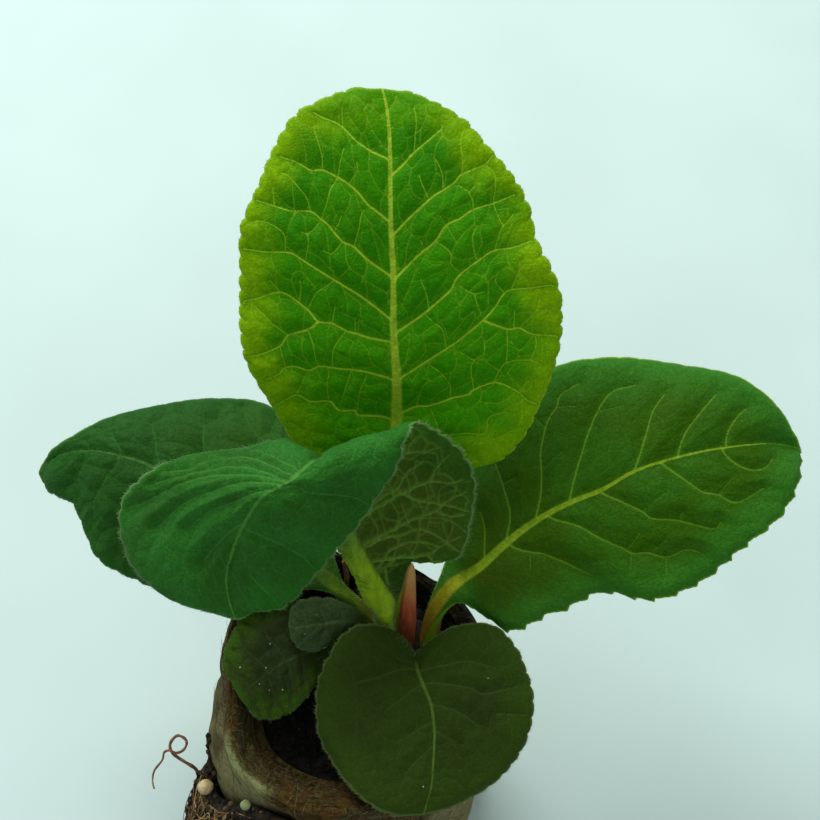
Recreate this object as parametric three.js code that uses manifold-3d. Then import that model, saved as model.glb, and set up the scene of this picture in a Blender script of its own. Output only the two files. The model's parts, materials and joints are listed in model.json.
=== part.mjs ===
// A young double primrose growing in a fibre-wrapped plug of soil, before its first flowers.
// Millimetres, +Z up. The origin is the centre of the flat underside of the plug.
// Seen from the front, along +Y, the plant's left is -X and its right is +X.

import * as THREE from 'three';
import { mergeVertices } from 'three/addons/utils/BufferGeometryUtils.js';
import Module from 'manifold-3d';

const wasm = await Module();
wasm.setup();

// Driving dimensions

const GAP = 0.3; // clear space between pieces that rest on each other
const BLADE = 0.8; // thickness of a leaf blade
const COLUMNS = [-1, -0.76, -0.42, -0.09, 0, 0.09, 0.42, 0.76, 1]; // across a leaf, margin to margin
const NET_COLUMN = 0.42; // where the cross veins join the side veins
const VEIN_RISE = 0.45; // how far a side vein stands out below the blade
const NET_RISE = 0.2;
const PUFF = 0.9; // how far the blade swells between two side veins
const VEIN_SINK = 0.3; // how far it sinks over one
const GROOVE = 0.25; // depth of the furrow over the midrib
const TIP_DEPTH = 0.3; // depth of the keel at the leaf's tip

const POT_SIDES = 40;
const POT_FLOOR_RADIUS = 23.5;
const POT_RIM_RADIUS = 25.6;
const POT_RIM_HEIGHT = 52;
const SLEEVE = 1.2; // thickness of the fibre sleeve
const COLLAR_RADIUS = 17.4; // inner edge of the slumped collar
const COLLAR_HEIGHT = 47.2;
const COLLAR_SHIFT = 4.6; // how much wider the opening is on its open side
const COLLAR_OPEN_SIDE = THREE.MathUtils.degToRad(65);
const LEFT_BELLY = { depth: 0.07, centre: Math.PI * 1.12, spread: 0.5 }; // depths are parts of the radius
const LEFT_DENT = { depth: 0.1, centre: Math.PI * 1.03, spread: 0.42 };
const BACK_LIFT = { height: 1.4, centre: Math.PI * 0.55, spread: 0.8 };
const WALL_WAVES = [[0.012, 2, 0.6], [0.008, 3, 2.1], [0.004, 7, 0.4]]; // height, turns, phase
const RIM_WAVES = [[0.35, 3, 0.9], [0.2, 8, 1.3]];
const SOIL_HEAP = 2.4;

const CROWN_CENTRE = new THREE.Vector2(9.5, 8.2);
const CROWN_RADIUS = 6.2;
const CROWN_BOTTOM = 41;
const CROWN_TOP = 49.4;
const STALK_RADIUS = 0.55;

const COLOURS = {
  leaf_back: 0x4f8f14,
  leaf_right: 0x1f5212,
  leaf_arching: 0x1d5a36,
  leaf_left: 0x1c4a2c,
  leaf_front: 0x22401a,
  leaf_low_left: 0x27401f,
  leaf_small: 0x2c4a2e,
};

// Materials

function material(name, colour, roughness) {
  const made = new THREE.MeshStandardMaterial({ color: colour, roughness, metalness: 0, flatShading: true });
  made.name = name;
  return made;
}

// Small helpers

const vec = (values) => new THREE.Vector3(...values);

function wave(angle, parts) {
  // Sum of a few sines: each part is [height, turns, phase].
  return parts.reduce((sum, [height, turns, phase]) => sum + height * Math.sin(turns * angle + phase), 0);
}

function near(angle, centre, spread) {
  // 1 at the centre angle, falling away smoothly round the circle.
  const apart = Math.atan2(Math.sin(angle - centre), Math.cos(angle - centre));
  return Math.exp(-((apart / spread) ** 2));
}

function smooth(from, to, value) {
  const t = Math.min(Math.max((value - from) / (to - from), 0), 1);
  return t * t * (3 - 2 * t);
}

function catmullRom(points, u) {
  // A curve through a list of vectors, one step of u from each to the next.
  const last = points.length - 1;
  const i = Math.min(Math.floor(u), last - 1);
  const t = u - i;
  const before = i > 0 ? points[i - 1] : points[0].clone().multiplyScalar(2).sub(points[1]);
  const after = i + 2 <= last ? points[i + 2] : points[last].clone().multiplyScalar(2).sub(points[last - 1]);
  const weights = [
    -0.5 * t + t * t - 0.5 * t ** 3,
    1 - 2.5 * t * t + 1.5 * t ** 3,
    0.5 * t + 2 * t * t - 1.5 * t ** 3,
    -0.5 * t * t + 0.5 * t ** 3,
  ];
  const sum = new THREE.Vector3();
  [before, points[i], points[i + 1], after].forEach((point, k) => sum.addScaledVector(point, weights[k]));
  return sum;
}

function geometryFrom(points, faces) {
  const geometry = new THREE.BufferGeometry();
  const numbers = points.flatMap((p) => [p.x, p.y, p.z]);
  geometry.setAttribute('position', new THREE.Float32BufferAttribute(numbers, 3));
  geometry.setIndex(faces.flat());
  geometry.computeVertexNormals();
  return geometry;
}

function loft(rings) {
  // Closes a run of rings, each the same number of points counter-clockwise seen from the far end.
  const sides = rings[0].length;
  const points = rings.flat();
  const faces = [];
  for (let k = 0; k + 1 < rings.length; k += 1) {
    for (let j = 0; j < sides; j += 1) {
      const a = k * sides + j;
      const b = k * sides + ((j + 1) % sides);
      faces.push([a, b, b + sides], [a, b + sides, a + sides]);
    }
  }
  const ends = [rings[0], rings[rings.length - 1]].map((ring) => {
    const centre = new THREE.Vector3();
    ring.forEach((p) => centre.addScaledVector(p, 1 / sides));
    return points.push(centre) - 1;
  });
  const lastRing = (rings.length - 1) * sides;
  for (let j = 0; j < sides; j += 1) {
    const next = (j + 1) % sides;
    faces.push([ends[0], next, j], [ends[1], lastRing + j, lastRing + next]);
  }
  return geometryFrom(points, faces);
}

function ringsAlong(points, radii, sides, steps, shape = () => 1) {
  // Rings square to a curve through the points, with a radius taken from the list along it.
  const curve = new THREE.CatmullRomCurve3(points);
  const frames = curve.computeFrenetFrames(steps, false);
  const rings = [];
  for (let k = 0; k <= steps; k += 1) {
    const along = k / steps;
    const at = along * (radii.length - 1);
    const i = Math.min(Math.floor(at), radii.length - 2);
    const radius = radii[i] + (radii[i + 1] - radii[i]) * (at - i);
    const centre = curve.getPoint(along);
    const ring = [];
    for (let j = 0; j < sides; j += 1) {
      const angle = (2 * Math.PI * j) / sides;
      const reach = radius * shape(angle, along);
      ring.push(
        centre.clone()
          .addScaledVector(frames.normals[k], reach * Math.cos(angle))
          .addScaledVector(frames.binormals[k], reach * Math.sin(angle)),
      );
    }
    rings.push(ring);
  }
  return rings;
}

function toSolid(geometry) {
  const bare = geometry.clone();
  bare.deleteAttribute('normal');
  bare.deleteAttribute('uv');
  const merged = mergeVertices(bare, 1e-4);
  return new wasm.Manifold(new wasm.Mesh({
    numProp: 3,
    vertProperties: new Float32Array(merged.attributes.position.array),
    triVerts: new Uint32Array(merged.index.array),
  }));
}

function fromSolid(solid) {
  const mesh = solid.getMesh();
  const geometry = new THREE.BufferGeometry();
  geometry.setAttribute('position', new THREE.BufferAttribute(mesh.vertProperties, 3));
  geometry.setIndex(new THREE.BufferAttribute(mesh.triVerts, 1));
  geometry.computeVertexNormals();
  return geometry;
}

// Leaves
//
// A leaf is a run of stations from its foot to its tip. A station has a point on the midrib and the two
// ends of the side veins that leave it there, so its rows run the way the side veins do. `right` is the
// leaf's own right side, seen from above with the tip pointing away. `rows` counts the rows from one
// station to the next, `stalk` is the depth and half width of the keel under the midrib, `belly` is how
// far each half of the blade is domed, and `tooth` and `ripple` shape the margin. A petiole station is a
// midrib point with the half width of the stalk and the direction across it.

function petiole(rib, half, across) {
  const side = vec(across).normalize().multiplyScalar(half);
  return { rib: vec(rib), left: vec(rib).sub(side), right: vec(rib).add(side) };
}

function blade(rib, left, right) {
  return { rib: vec(rib), left: vec(left), right: vec(right) };
}

const LEAVES = {
  leaf_back: {
    rows: 4,
    stalk: [2.6, 1.7],
    belly: 1.2,
    tooth: 0.7,
    ripple: 0.5,
    stations: [
      petiole([9.8, 10.8, 50], 1.6, [1, 0, 0]),
      petiole([9.6, 12, 54], 1.6, [1, 0, 0]),
      petiole([9.1, 16, 59.5], 1.8, [1, 0, 0]),
      petiole([8.7, 21, 65], 2.1, [1, 0, 0]),
      blade([8.5, 25.5, 70], [5.5, 27.5, 72], [12, 27.5, 72.5]),
      blade([8.5, 27.5, 72.5], [-2, 29.5, 76.5], [20, 29.5, 76.5]),
      blade([8.5, 30, 75.5], [-9, 31.5, 81.5], [27.5, 30.5, 79.5]),
      blade([8.5, 32.5, 80.5], [-13.5, 36.5, 88.5], [33, 35.5, 87]),
      blade([8.5, 36.5, 85], [-17, 41.5, 96], [36.5, 42, 96.5]),
      blade([8.5, 40, 91], [-18, 48, 102.5], [35.5, 49, 104]),
      blade([8, 45.5, 97], [-17.5, 56, 109], [32.5, 55.5, 109]),
      blade([8, 52, 103.5], [-14.5, 64.5, 114.5], [29.5, 63, 113.5]),
      blade([7.5, 59, 108.5], [-9.5, 72.5, 118], [25, 69, 116]),
      blade([7.5, 68, 113.5], [-3.5, 77, 119], [18, 75, 118.5]),
      blade([7, 74.5, 117], [1.5, 79, 119.5], [12, 78.5, 119]),
    ],
    tip: [6, 80, 119],
  },
  leaf_right: {
    rows: 4,
    stalk: [2.6, 1.7],
    belly: 1.4,
    tooth: 0.8,
    ripple: 0.6,
    stations: [
      petiole([13.2, 8.2, 50.3], 1.6, [0, -1, 0]),
      petiole([15, 11.5, 55.5], 1.8, [0.5, -1, -0.2]),
      blade([18, 14.5, 59.5], [16.5, 17.5, 60], [19.5, 12, 58.5]),
      blade([20.5, 16, 61], [18, 22, 62], [24, 9.5, 58.5]),
      blade([23.5, 17, 63.5], [19, 27.5, 65], [29, 6.5, 59]),
      blade([28, 20, 67], [22.5, 36.5, 69], [36.5, 8.5, 62]),
      blade([33, 22.5, 70.5], [29.5, 45.5, 73.5], [44.5, 11, 65.5]),
      blade([39, 24.5, 74], [37, 50.5, 77], [53, 8.5, 67.5]),
      blade([44.5, 26, 76], [47.5, 51, 79], [61, 11, 69.5]),
      blade([50, 28.5, 78], [59, 49, 80.5], [67.5, 15, 72.5]),
      blade([58, 31, 79], [68.5, 46, 81], [75, 21, 74.5]),
      blade([66, 33, 79], [75.5, 41, 80], [78.5, 26, 76]),
      blade([73.5, 35, 77], [79, 36.5, 77], [80, 31, 75]),
    ],
    tip: [80.5, 35, 74],
  },
  leaf_arching: {
    rows: 3,
    stalk: [2.6, 1.5],
    belly: 1,
    tooth: 0.5,
    ripple: 0.5,
    stations: [
      petiole([6.9, 7.2, 49.9], 1.6, [-1, 0, 0]),
      petiole([6.6, 8.4, 55], 1.7, [-1, 0, 0]),
      petiole([6.1, 9.8, 60], 1.9, [-1, -0.3, 0]),
      blade([4.5, 12, 65], [9.5, 15, 62], [3.5, 14, 64]),
      blade([3.5, 13.5, 68.5], [12.5, 18, 66], [2.5, 17, 65]),
      blade([2.5, 14, 72], [19, 16, 69], [1, 19, 67]),
      blade([1, 15, 76], [22, 22.5, 77], [-0.5, 21, 70]),
      blade([0, 16.5, 81], [21.5, 26, 84], [-2.5, 24, 74]),
      blade([-1.5, 18, 89.5], [16, 27, 93], [-5, 27.5, 80]),
      blade([-3.5, 20, 97], [11.5, 26, 100], [-10.5, 28, 89]),
      blade([-6.5, 17, 100], [10, 22, 101], [-15, 25, 93]),
      blade([-9, 14.5, 100.5], [8, 17.5, 98], [-22.5, 25, 91]),
      blade([-13, 12.5, 99], [2.5, 12, 91], [-32, 23, 89]),
      blade([-15.5, 10, 94.5], [-4, 8, 83], [-38, 19.5, 83]),
      blade([-16.5, 7.5, 88.5], [-10, 3, 78], [-37, 12, 77]),
      blade([-17.5, 4, 82], [-15, 2.5, 76.5], [-29, 5.5, 74]),
    ],
    tip: [-18, 1, 76],
  },
  leaf_left: {
    rows: 4,
    stalk: [2.3, 1.4],
    belly: 2.5,
    tooth: 0.5,
    ripple: 0.5,
    stations: [
      petiole([5.2, 10.6, 50.4], 1.3, [0.2, 1, 0]),
      petiole([2, 12.8, 54.8], 1.3, [0.3, 1, 0]),
      petiole([-1.6, 14.9, 57.8], 1.5, [0.3, 1, 0]),
      blade([-4.5, 16.5, 60], [-7, 15, 58], [-3, 20.5, 60]),
      blade([-8, 18.5, 63], [-13, 14, 57.5], [-7, 29, 62]),
      blade([-12.5, 20.5, 65.5], [-19.5, 11, 57], [-10, 40, 63.5]),
      blade([-17.5, 23.5, 68], [-28, 12, 58], [-15, 49, 65]),
      blade([-25.5, 27.5, 71], [-37, 15.5, 60], [-25.5, 49.5, 67]),
      blade([-34, 31.5, 73], [-44.5, 18.5, 62.5], [-37, 46, 70]),
      blade([-40, 34.5, 73.5], [-47.5, 23, 65], [-44, 42.5, 72]),
      blade([-45.5, 37.5, 72.5], [-50, 28.5, 66], [-49.5, 39.5, 71.5]),
      blade([-51.5, 38, 70], [-54, 30.5, 66], [-54, 37.5, 69.5]),
    ],
    tip: [-57, 34.5, 66],
  },
  leaf_front: {
    rows: 3,
    stalk: [1.8, 1],
    belly: 1.2,
    tooth: 0.5,
    ripple: 0.4,
    stations: [
      petiole([10.6, 4.6, 49.9], 1.2, [-1, 0, 0]),
      petiole([10.6, 3.6, 54], 1.2, [-1, 0, 0]),
      blade([10.5, 2.5, 58], [11.5, 2, 58.5], [9.5, 4.5, 59]),
      blade([11.5, 0.5, 59.5], [14, 3.5, 60.5], [7, 6, 61.5]),
      blade([12, -1, 60.5], [18.5, 6, 62], [2, 6, 62.5]),
      blade([12.5, -3, 61], [25, 6.5, 61.5], [-2, 3.5, 61]),
      blade([13.5, -5.5, 61], [30, 2, 59.5], [-5, -1.5, 58]),
      blade([14.5, -8, 60], [32, -3.5, 57.5], [-5.5, -6.5, 56]),
      blade([15, -11.5, 58.5], [32, -8.5, 55.5], [-4.5, -12.5, 55]),
      blade([15, -15, 56.5], [30, -14, 53.5], [-1.5, -18, 54.5]),
      blade([14.5, -18.5, 54.5], [25.5, -19, 52], [3.5, -23, 54]),
      blade([14, -21.5, 52.5], [18.5, -23, 51.5], [8, -25, 53]),
    ],
    tip: [13, -24.5, 51],
  },
  leaf_low_left: {
    rows: 3,
    stalk: [1.4, 0.8],
    belly: 0.8,
    tooth: 0.4,
    ripple: 0.3,
    stations: [
      petiole([5.1, 4.2, 50], 0.9, [-0.6, 0.8, 0]),
      petiole([1.8, 4.6, 52.4], 1, [0, 1, 0]),
      blade([-1.5, 5, 53.5], [-2, 2.5, 53], [-2.5, 6.5, 54]),
      blade([-5.5, 4.5, 55], [-5, 0, 53.5], [-6, 12, 55]),
      blade([-8.5, 3.5, 55.5], [-7, -3, 54], [-11.5, 14.5, 55]),
      blade([-11, 2, 55.5], [-9, -5.5, 54], [-18, 12.5, 55]),
      blade([-13.5, -0.5, 55.5], [-12, -7.5, 54], [-21, 7.5, 55]),
      blade([-16.5, -2.5, 55.5], [-16, -8, 54.5], [-22.5, 2, 55]),
    ],
    tip: [-19.5, -4.5, 55],
  },
  leaf_small: {
    rows: 3,
    stalk: [1.2, 0.7],
    belly: 0.6,
    tooth: 0.3,
    ripple: 0.2,
    stations: [
      petiole([4.3, 7.3, 50], 0.8, [0, 1, 0]),
      petiole([3.2, 8.2, 54], 0.8, [0, 1, 0]),
      blade([1.5, 9, 57.5], [0.5, 8, 57], [1, 11, 58]),
      blade([-1, 8.5, 58.5], [-2, 6, 57.5], [-2, 12.5, 58.5]),
      blade([-4, 8, 59], [-5, 3.5, 58], [-5.5, 13, 58.5]),
      blade([-7, 7.5, 59], [-8, 3.5, 58], [-8.5, 12.5, 58.5]),
      blade([-9, 7, 58.5], [-10, 5, 58], [-10.5, 11, 58]),
    ],
    tip: [-11, 8, 58],
  },
};

function bluntTip(leaf) {
  // The last row is a short margin across the tip, part of the way to the ends of the row before it.
  const last = leaf.stations[leaf.stations.length - 1];
  const rib = vec(leaf.tip);
  return { rib, left: rib.clone().lerp(last.left, 0.3), right: rib.clone().lerp(last.right, 0.3) };
}

function leafGeometry(leaf) {
  const stations = [...leaf.stations, bluntTip(leaf)];
  const ribs = stations.map((s) => s.rib);
  const lefts = stations.map((s) => s.left);
  const rights = stations.map((s) => s.right);
  const lastU = stations.length - 1;
  const footU = leaf.stations.findIndex((s) => s.left.distanceTo(s.rib) + s.right.distanceTo(s.rib) > 5);

  // The bare middle surface: u runs from foot to tip, t from the left margin at -1 to the right at 1.
  const sheet = (u, t) => {
    const rib = catmullRom(ribs, u);
    const margin = catmullRom(t < 0 ? lefts : rights, u);
    const bulge = 4 * Math.abs(t) * (1 - Math.abs(t)) * leaf.belly * smooth(footU, footU + 2, u);
    const ahead = catmullRom(ribs, Math.min(u + 0.05, lastU)).sub(catmullRom(ribs, Math.max(u - 0.05, 0)));
    const across = catmullRom(rights, u).sub(catmullRom(lefts, u));
    const up = across.cross(ahead).normalize();
    const swing = Math.sin(u * 2.6 + (t < 0 ? 0 : 1.9));
    const crinkle = leaf.ripple * t ** 4 * swing * smooth(footU + 1, footU + 2, u);
    return rib.lerp(margin, Math.abs(t)).addScaledVector(up, bulge + crinkle);
  };

  const normalAt = (u, t) => {
    const step = 0.04;
    const u0 = Math.max(u - step, 0);
    const u1 = Math.min(u + step, lastU);
    const t0 = Math.max(t - step, -1);
    const t1 = Math.min(t + step, 1);
    const across = sheet(u, t1).sub(sheet(u, t0));
    const ahead = sheet(u1, t).sub(sheet(u0, t));
    return across.cross(ahead).normalize();
  };

  const rows = lastU * leaf.rows;
  const columns = COLUMNS.length;
  const top = [];
  const bottom = [];
  for (let i = 0; i <= rows; i += 1) {
    const u = i / leaf.rows;
    const onBlade = smooth(footU - 0.5, footU + 1.5, u);
    const sideVein = i % leaf.rows === 0;
    const towardTip = u / lastU;
    const [footDepth, stalkHalf] = leaf.stalk;
    const stalkDepth = THREE.MathUtils.lerp(footDepth, TIP_DEPTH, smooth(0.1, 1, towardTip));
    COLUMNS.forEach((t) => {
      const atMargin = Math.abs(t) === 1;
      const rib = sheet(u, 0);
      const distance = sheet(u, t).distanceTo(rib);
      // Every second row of the margin stands out as a tooth.
      const tooth = atMargin ? leaf.tooth * onBlade * (i % 2 === 1 ? 0.5 : -0.5) : 0;
      const place = sheet(u, t);
      place.addScaledVector(place.clone().sub(rib).normalize(), tooth);
      const normal = normalAt(u, t);
      // The blade puffs up between its side veins, and the veins stand out below as ribs and a net.
      const puff = PUFF * (sideVein ? 0 : Math.sin((Math.PI * (i % leaf.rows)) / leaf.rows));
      const inside = 4 * Math.abs(t) * (1 - Math.abs(t));
      const relief = onBlade * Math.min(inside, 0.8) * (puff - VEIN_SINK) * Math.min(distance / 20, 1);
      const vein = sideVein && !atMargin ? VEIN_RISE * onBlade : 0;
      const net = Math.abs(t) === NET_COLUMN ? NET_RISE * onBlade : 0;
      const round = Math.max(1 - (distance / stalkHalf) ** 2, 0);
      const keel = stalkDepth * Math.sqrt(round);
      const groove = t === 0 ? GROOVE * onBlade : 0;
      top.push(place.clone().addScaledVector(normal, relief + BLADE / 2 - groove));
      bottom.push(place.clone().addScaledVector(normal, relief - BLADE / 2 - Math.max(vein, net, keel)));
    });
  }

  const points = [...top, ...bottom];
  const under = top.length;
  const faces = [];
  for (let i = 0; i < rows; i += 1) {
    for (let j = 0; j + 1 < columns; j += 1) {
      const a = i * columns + j;
      const b = a + 1;
      const c = a + columns;
      const d = c + 1;
      // The diagonals lean outwards and forwards on both halves, as the side veins do.
      const split = COLUMNS[j] >= 0 ? [[a, b, d], [a, d, c]] : [[a, b, c], [b, d, c]];
      split.forEach(([p, q, r]) => faces.push([p, q, r], [under + p, under + r, under + q]));
    }
  }
  const wall = (p, q) => faces.push([p, under + p, under + q], [p, under + q, q]);
  for (let i = 0; i < rows; i += 1) {
    wall((i + 1) * columns, i * columns);
    wall(i * columns + columns - 1, (i + 1) * columns + columns - 1);
  }
  for (let j = 0; j + 1 < columns; j += 1) {
    wall(j, j + 1);
    wall(rows * columns + j + 1, rows * columns + j);
  }
  return geometryFrom(points, faces);
}

// Pot and soil

function settle(point) {
  // The plug is soft and hand wrapped: its wall wanders a little, its rim is uneven and its collar
  // is turned in further at the front left than behind the plant.
  const angle = Math.atan2(point.y, point.x);
  const radius = Math.hypot(point.x, point.y);
  const swell = ({ depth, centre, spread }) => depth * near(angle, centre, spread);
  const fromRim = 1 - smooth(COLLAR_RADIUS, POT_RIM_RADIUS - 2, radius);
  const reach = radius < COLLAR_RADIUS ? radius / COLLAR_RADIUS : fromRim;
  const openSide = 0.5 + 0.5 * Math.cos(angle - COLLAR_OPEN_SIDE);
  const turnedBack = COLLAR_SHIFT * openSide * reach * smooth(40, 45, point.z);
  const wander = smooth(2, 30, point.z) * wave(angle, WALL_WAVES);
  // On the left the wall bellies out and the rim above it is pushed in.
  const belly = swell(LEFT_BELLY) * smooth(4, 28, point.z) * (1 - smooth(30, 50, point.z));
  const nearRim = smooth(38, 50, point.z);
  const grow = 1 + wander + belly - swell(LEFT_DENT) * nearRim + (radius > 0 ? turnedBack / radius : 0);
  const lift = wave(angle, RIM_WAVES) + BACK_LIFT.height * near(angle, BACK_LIFT.centre, BACK_LIFT.spread);
  return new THREE.Vector3(point.x * grow, point.y * grow, point.z + nearRim * lift);
}

function turned(profile, sides, shape) {
  // A profile of [radius, height] from axis to axis, or closed on itself, turned about the upright axis.
  const onAxis = profile[0][0] === 0;
  const rows = onAxis ? profile.slice(1, -1) : profile;
  const points = [];
  rows.forEach(([radius, height]) => {
    for (let j = 0; j < sides; j += 1) {
      const angle = (2 * Math.PI * j) / sides;
      points.push(shape(new THREE.Vector3(radius * Math.cos(angle), radius * Math.sin(angle), height)));
    }
  });
  const faces = [];
  const bands = onAxis ? rows.length - 1 : rows.length;
  for (let k = 0; k < bands; k += 1) {
    for (let j = 0; j < sides; j += 1) {
      const next = (j + 1) % sides;
      const low = k * sides;
      const high = ((k + 1) % rows.length) * sides;
      faces.push([low + j, low + next, high + next], [low + j, high + next, high + j]);
    }
  }
  if (onAxis) {
    const first = points.push(shape(new THREE.Vector3(0, 0, profile[0][1]))) - 1;
    const last = points.push(shape(new THREE.Vector3(0, 0, profile[profile.length - 1][1]))) - 1;
    const top = (rows.length - 1) * sides;
    for (let j = 0; j < sides; j += 1) {
      const next = (j + 1) % sides;
      faces.push([first, next, j], [last, top + j, top + next]);
    }
  }
  return geometryFrom(points, faces);
}

function sleeveGeometry() {
  const inner = POT_RIM_RADIUS - SLEEVE;
  const profile = [
    [0, 0],
    [POT_FLOOR_RADIUS, 0],
    [POT_FLOOR_RADIUS + 0.7, 1.4],
    [POT_FLOOR_RADIUS + 1.4, 16],
    [POT_RIM_RADIUS - 0.3, 34],
    [POT_RIM_RADIUS, POT_RIM_HEIGHT - 3],
    [POT_RIM_RADIUS - 0.4, POT_RIM_HEIGHT - 0.4],
    [POT_RIM_RADIUS - 1.4, POT_RIM_HEIGHT],
    [POT_RIM_RADIUS - 3.6, POT_RIM_HEIGHT - 1.2],
    [COLLAR_RADIUS + 1.6, COLLAR_HEIGHT + 0.7],
    [COLLAR_RADIUS, COLLAR_HEIGHT],
    [COLLAR_RADIUS + 0.1, COLLAR_HEIGHT - 0.8],
    [inner - 1.4, POT_RIM_HEIGHT - 3],
    [inner - 0.3, POT_RIM_HEIGHT - 4.5],
    [inner - 0.5, 34],
    [POT_FLOOR_RADIUS + 0.2, 16],
    [POT_FLOOR_RADIUS - 0.7, SLEEVE],
    [0, SLEEVE],
  ];
  return turned(profile, POT_SIDES, settle);
}

function soilTop(point) {
  // Soil heaped a little towards the crown, with crumbs.
  const fromCrown = Math.hypot(point.x - CROWN_CENTRE.x, point.y - CROWN_CENTRE.y);
  const heap = SOIL_HEAP * (1 - smooth(4, 22, fromCrown));
  const crumbs = 0.5 * Math.sin(point.x * 1.9 + 0.7) * Math.sin(point.y * 2.1 + 1.1)
    + 0.3 * Math.sin(point.x * 3.7 + point.y * 2.3);
  const fromAxis = Math.hypot(point.x, point.y);
  const open = 1 - smooth(COLLAR_RADIUS - 2.5, COLLAR_RADIUS - 0.6, fromAxis);
  return new THREE.Vector3(point.x, point.y, point.z + open * (heap + crumbs));
}

function soilGeometry() {
  const inner = POT_RIM_RADIUS - SLEEVE - GAP;
  const top = COLLAR_HEIGHT - 0.8 - 2 * GAP;
  const profile = [
    [0, SLEEVE + GAP],
    [POT_FLOOR_RADIUS - 1.1, SLEEVE + GAP],
    [POT_FLOOR_RADIUS - 0.2, 16],
    [inner - 0.6, 34],
    [inner - 0.7, POT_RIM_HEIGHT - 5.2],
    [inner - 1.9, POT_RIM_HEIGHT - 4.3],
    [COLLAR_RADIUS - 0.2, top],
    ...[15, 12, 9, 6, 3].map((radius) => [radius, top + 0.1]),
    [0, top + 0.1],
  ];
  const inOpening = (p) => p.z > top - 0.05 && Math.hypot(p.x, p.y) < COLLAR_RADIUS - 0.5;
  const heaped = turned(profile, POT_SIDES, (p) => settle(inOpening(p) ? soilTop(p) : p));
  const crownHole = new THREE.CylinderGeometry(CROWN_RADIUS + GAP, CROWN_RADIUS + GAP, 20, 20);
  crownHole.rotateX(Math.PI / 2);
  crownHole.translate(CROWN_CENTRE.x, CROWN_CENTRE.y, CROWN_BOTTOM - GAP + 10);
  const bore = STALK_RADIUS + 1.5 * GAP;
  const stalkHole = loft(ringsAlong(STALK_HOLE, [bore, bore], 8, 4));
  return fromSolid(toSolid(heaped).subtract(toSolid(crownHole)).subtract(toSolid(stalkHole)));
}

function crownGeometry() {
  // The short rootstock that every leaf stalk springs from.
  const profile = [
    [0, CROWN_BOTTOM],
    [CROWN_RADIUS * 0.72, CROWN_BOTTOM],
    [CROWN_RADIUS * 0.95, CROWN_BOTTOM + 3],
    [CROWN_RADIUS, CROWN_TOP - 1.6],
    [CROWN_RADIUS * 0.93, CROWN_TOP - 0.4],
    [CROWN_RADIUS * 0.8, CROWN_TOP],
    [0, CROWN_TOP],
  ];
  const lobed = (p) => {
    const swell = 1 - 0.05 * (1 - Math.cos(7 * Math.atan2(p.y, p.x))) * smooth(CROWN_BOTTOM, CROWN_TOP, p.z);
    return new THREE.Vector3(p.x * swell + CROWN_CENTRE.x, p.y * swell + CROWN_CENTRE.y, p.z);
  };
  return turned(profile, 28, lobed);
}

// Young shoot, dead stalk, roots and feed pellets

const SHOOT = [[10.2, 8, 49.9], [10.3, 9, 55], [10.6, 11, 62], [11, 13.6, 69], [11.1, 14.3, 70.6]].map(vec);
const SHOOT_RADII = [1.35, 1.55, 1.65, 1.6, 1.35, 0.8, 0.15];

function shootGeometry() {
  // A furled leaf: the ring has one step, where its edge wraps over the roll.
  const seam = (angle) => Math.exp(-((angle - 0.5) ** 2) / 0.1);
  const furled = (angle) => 1 + 0.12 * (1 - angle / (2 * Math.PI)) - 0.1 * seam(angle);
  return loft(ringsAlong(SHOOT, SHOOT_RADII, 12, 12, furled));
}

const STALK = [
  [-0.4, 14.6, 43.5],
  [-0.5, 15.6, 47.5],
  [-1, 17.4, 52],
  [-0.7, 18.2, 56],
  [-1.2, 19.4, 60.5],
].map(vec);
const STALK_HOLE = [STALK[0].clone().sub(new THREE.Vector3(0, 0, GAP)), STALK[1], STALK[2]];

function stalkGeometry() {
  const radii = [STALK_RADIUS, STALK_RADIUS, 0.5, 0.45, 0.4, 0.32];
  return loft(ringsAlong(STALK, radii, 6, 10, (angle) => 1 - 0.15 * Math.cos(2 * angle)));
}

const SIDE_SOIL = {
  from: 192, // degrees round the plug
  to: 258,
  bottom: 3,
  leftTop: 25,
  rightTop: 47.5,
  climbs: [0.08, 0.7], // where its upper edge climbs from leftTop to rightTop
  bulge: 8.6,
  rows: 9,
  columns: 14,
};

function sideSoilPoint(across, up, outer) {
  // A patch of root-bound soil that has burst through the sleeve; across and up run from 0 to 1.
  const { from, to, bottom, leftTop, rightTop, climbs } = SIDE_SOIL;
  const top = THREE.MathUtils.lerp(leftTop, rightTop, smooth(...climbs, across));
  const angle = THREE.MathUtils.degToRad(from + (to - from) * across);
  const middle = Math.sin(Math.PI * across ** 0.7) * Math.sin(Math.PI * up);
  const height = bottom + (top - bottom) * up + 1.2 * Math.sin(9 * across) * (up - 0.5);
  const lumps = 0.55 * Math.sin(23 * across + 5 * up) * Math.sin(17 * up + 2 + 3 * across);
  const bulge = outer ? 0.9 + (SIDE_SOIL.bulge + lumps * 1.6) * Math.max(middle, 0) ** 0.6 : 0;
  // The same wandering wall as the sleeve, a gap outside it.
  const wall = POT_FLOOR_RADIUS + 0.7 + 1.6 * smooth(1, 36, height) + 0.35;
  const foot = settle(new THREE.Vector3(wall * Math.cos(angle), wall * Math.sin(angle), height));
  const out = new THREE.Vector3(Math.cos(angle), Math.sin(angle), 0);
  return foot.addScaledVector(out, GAP + bulge);
}

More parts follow.
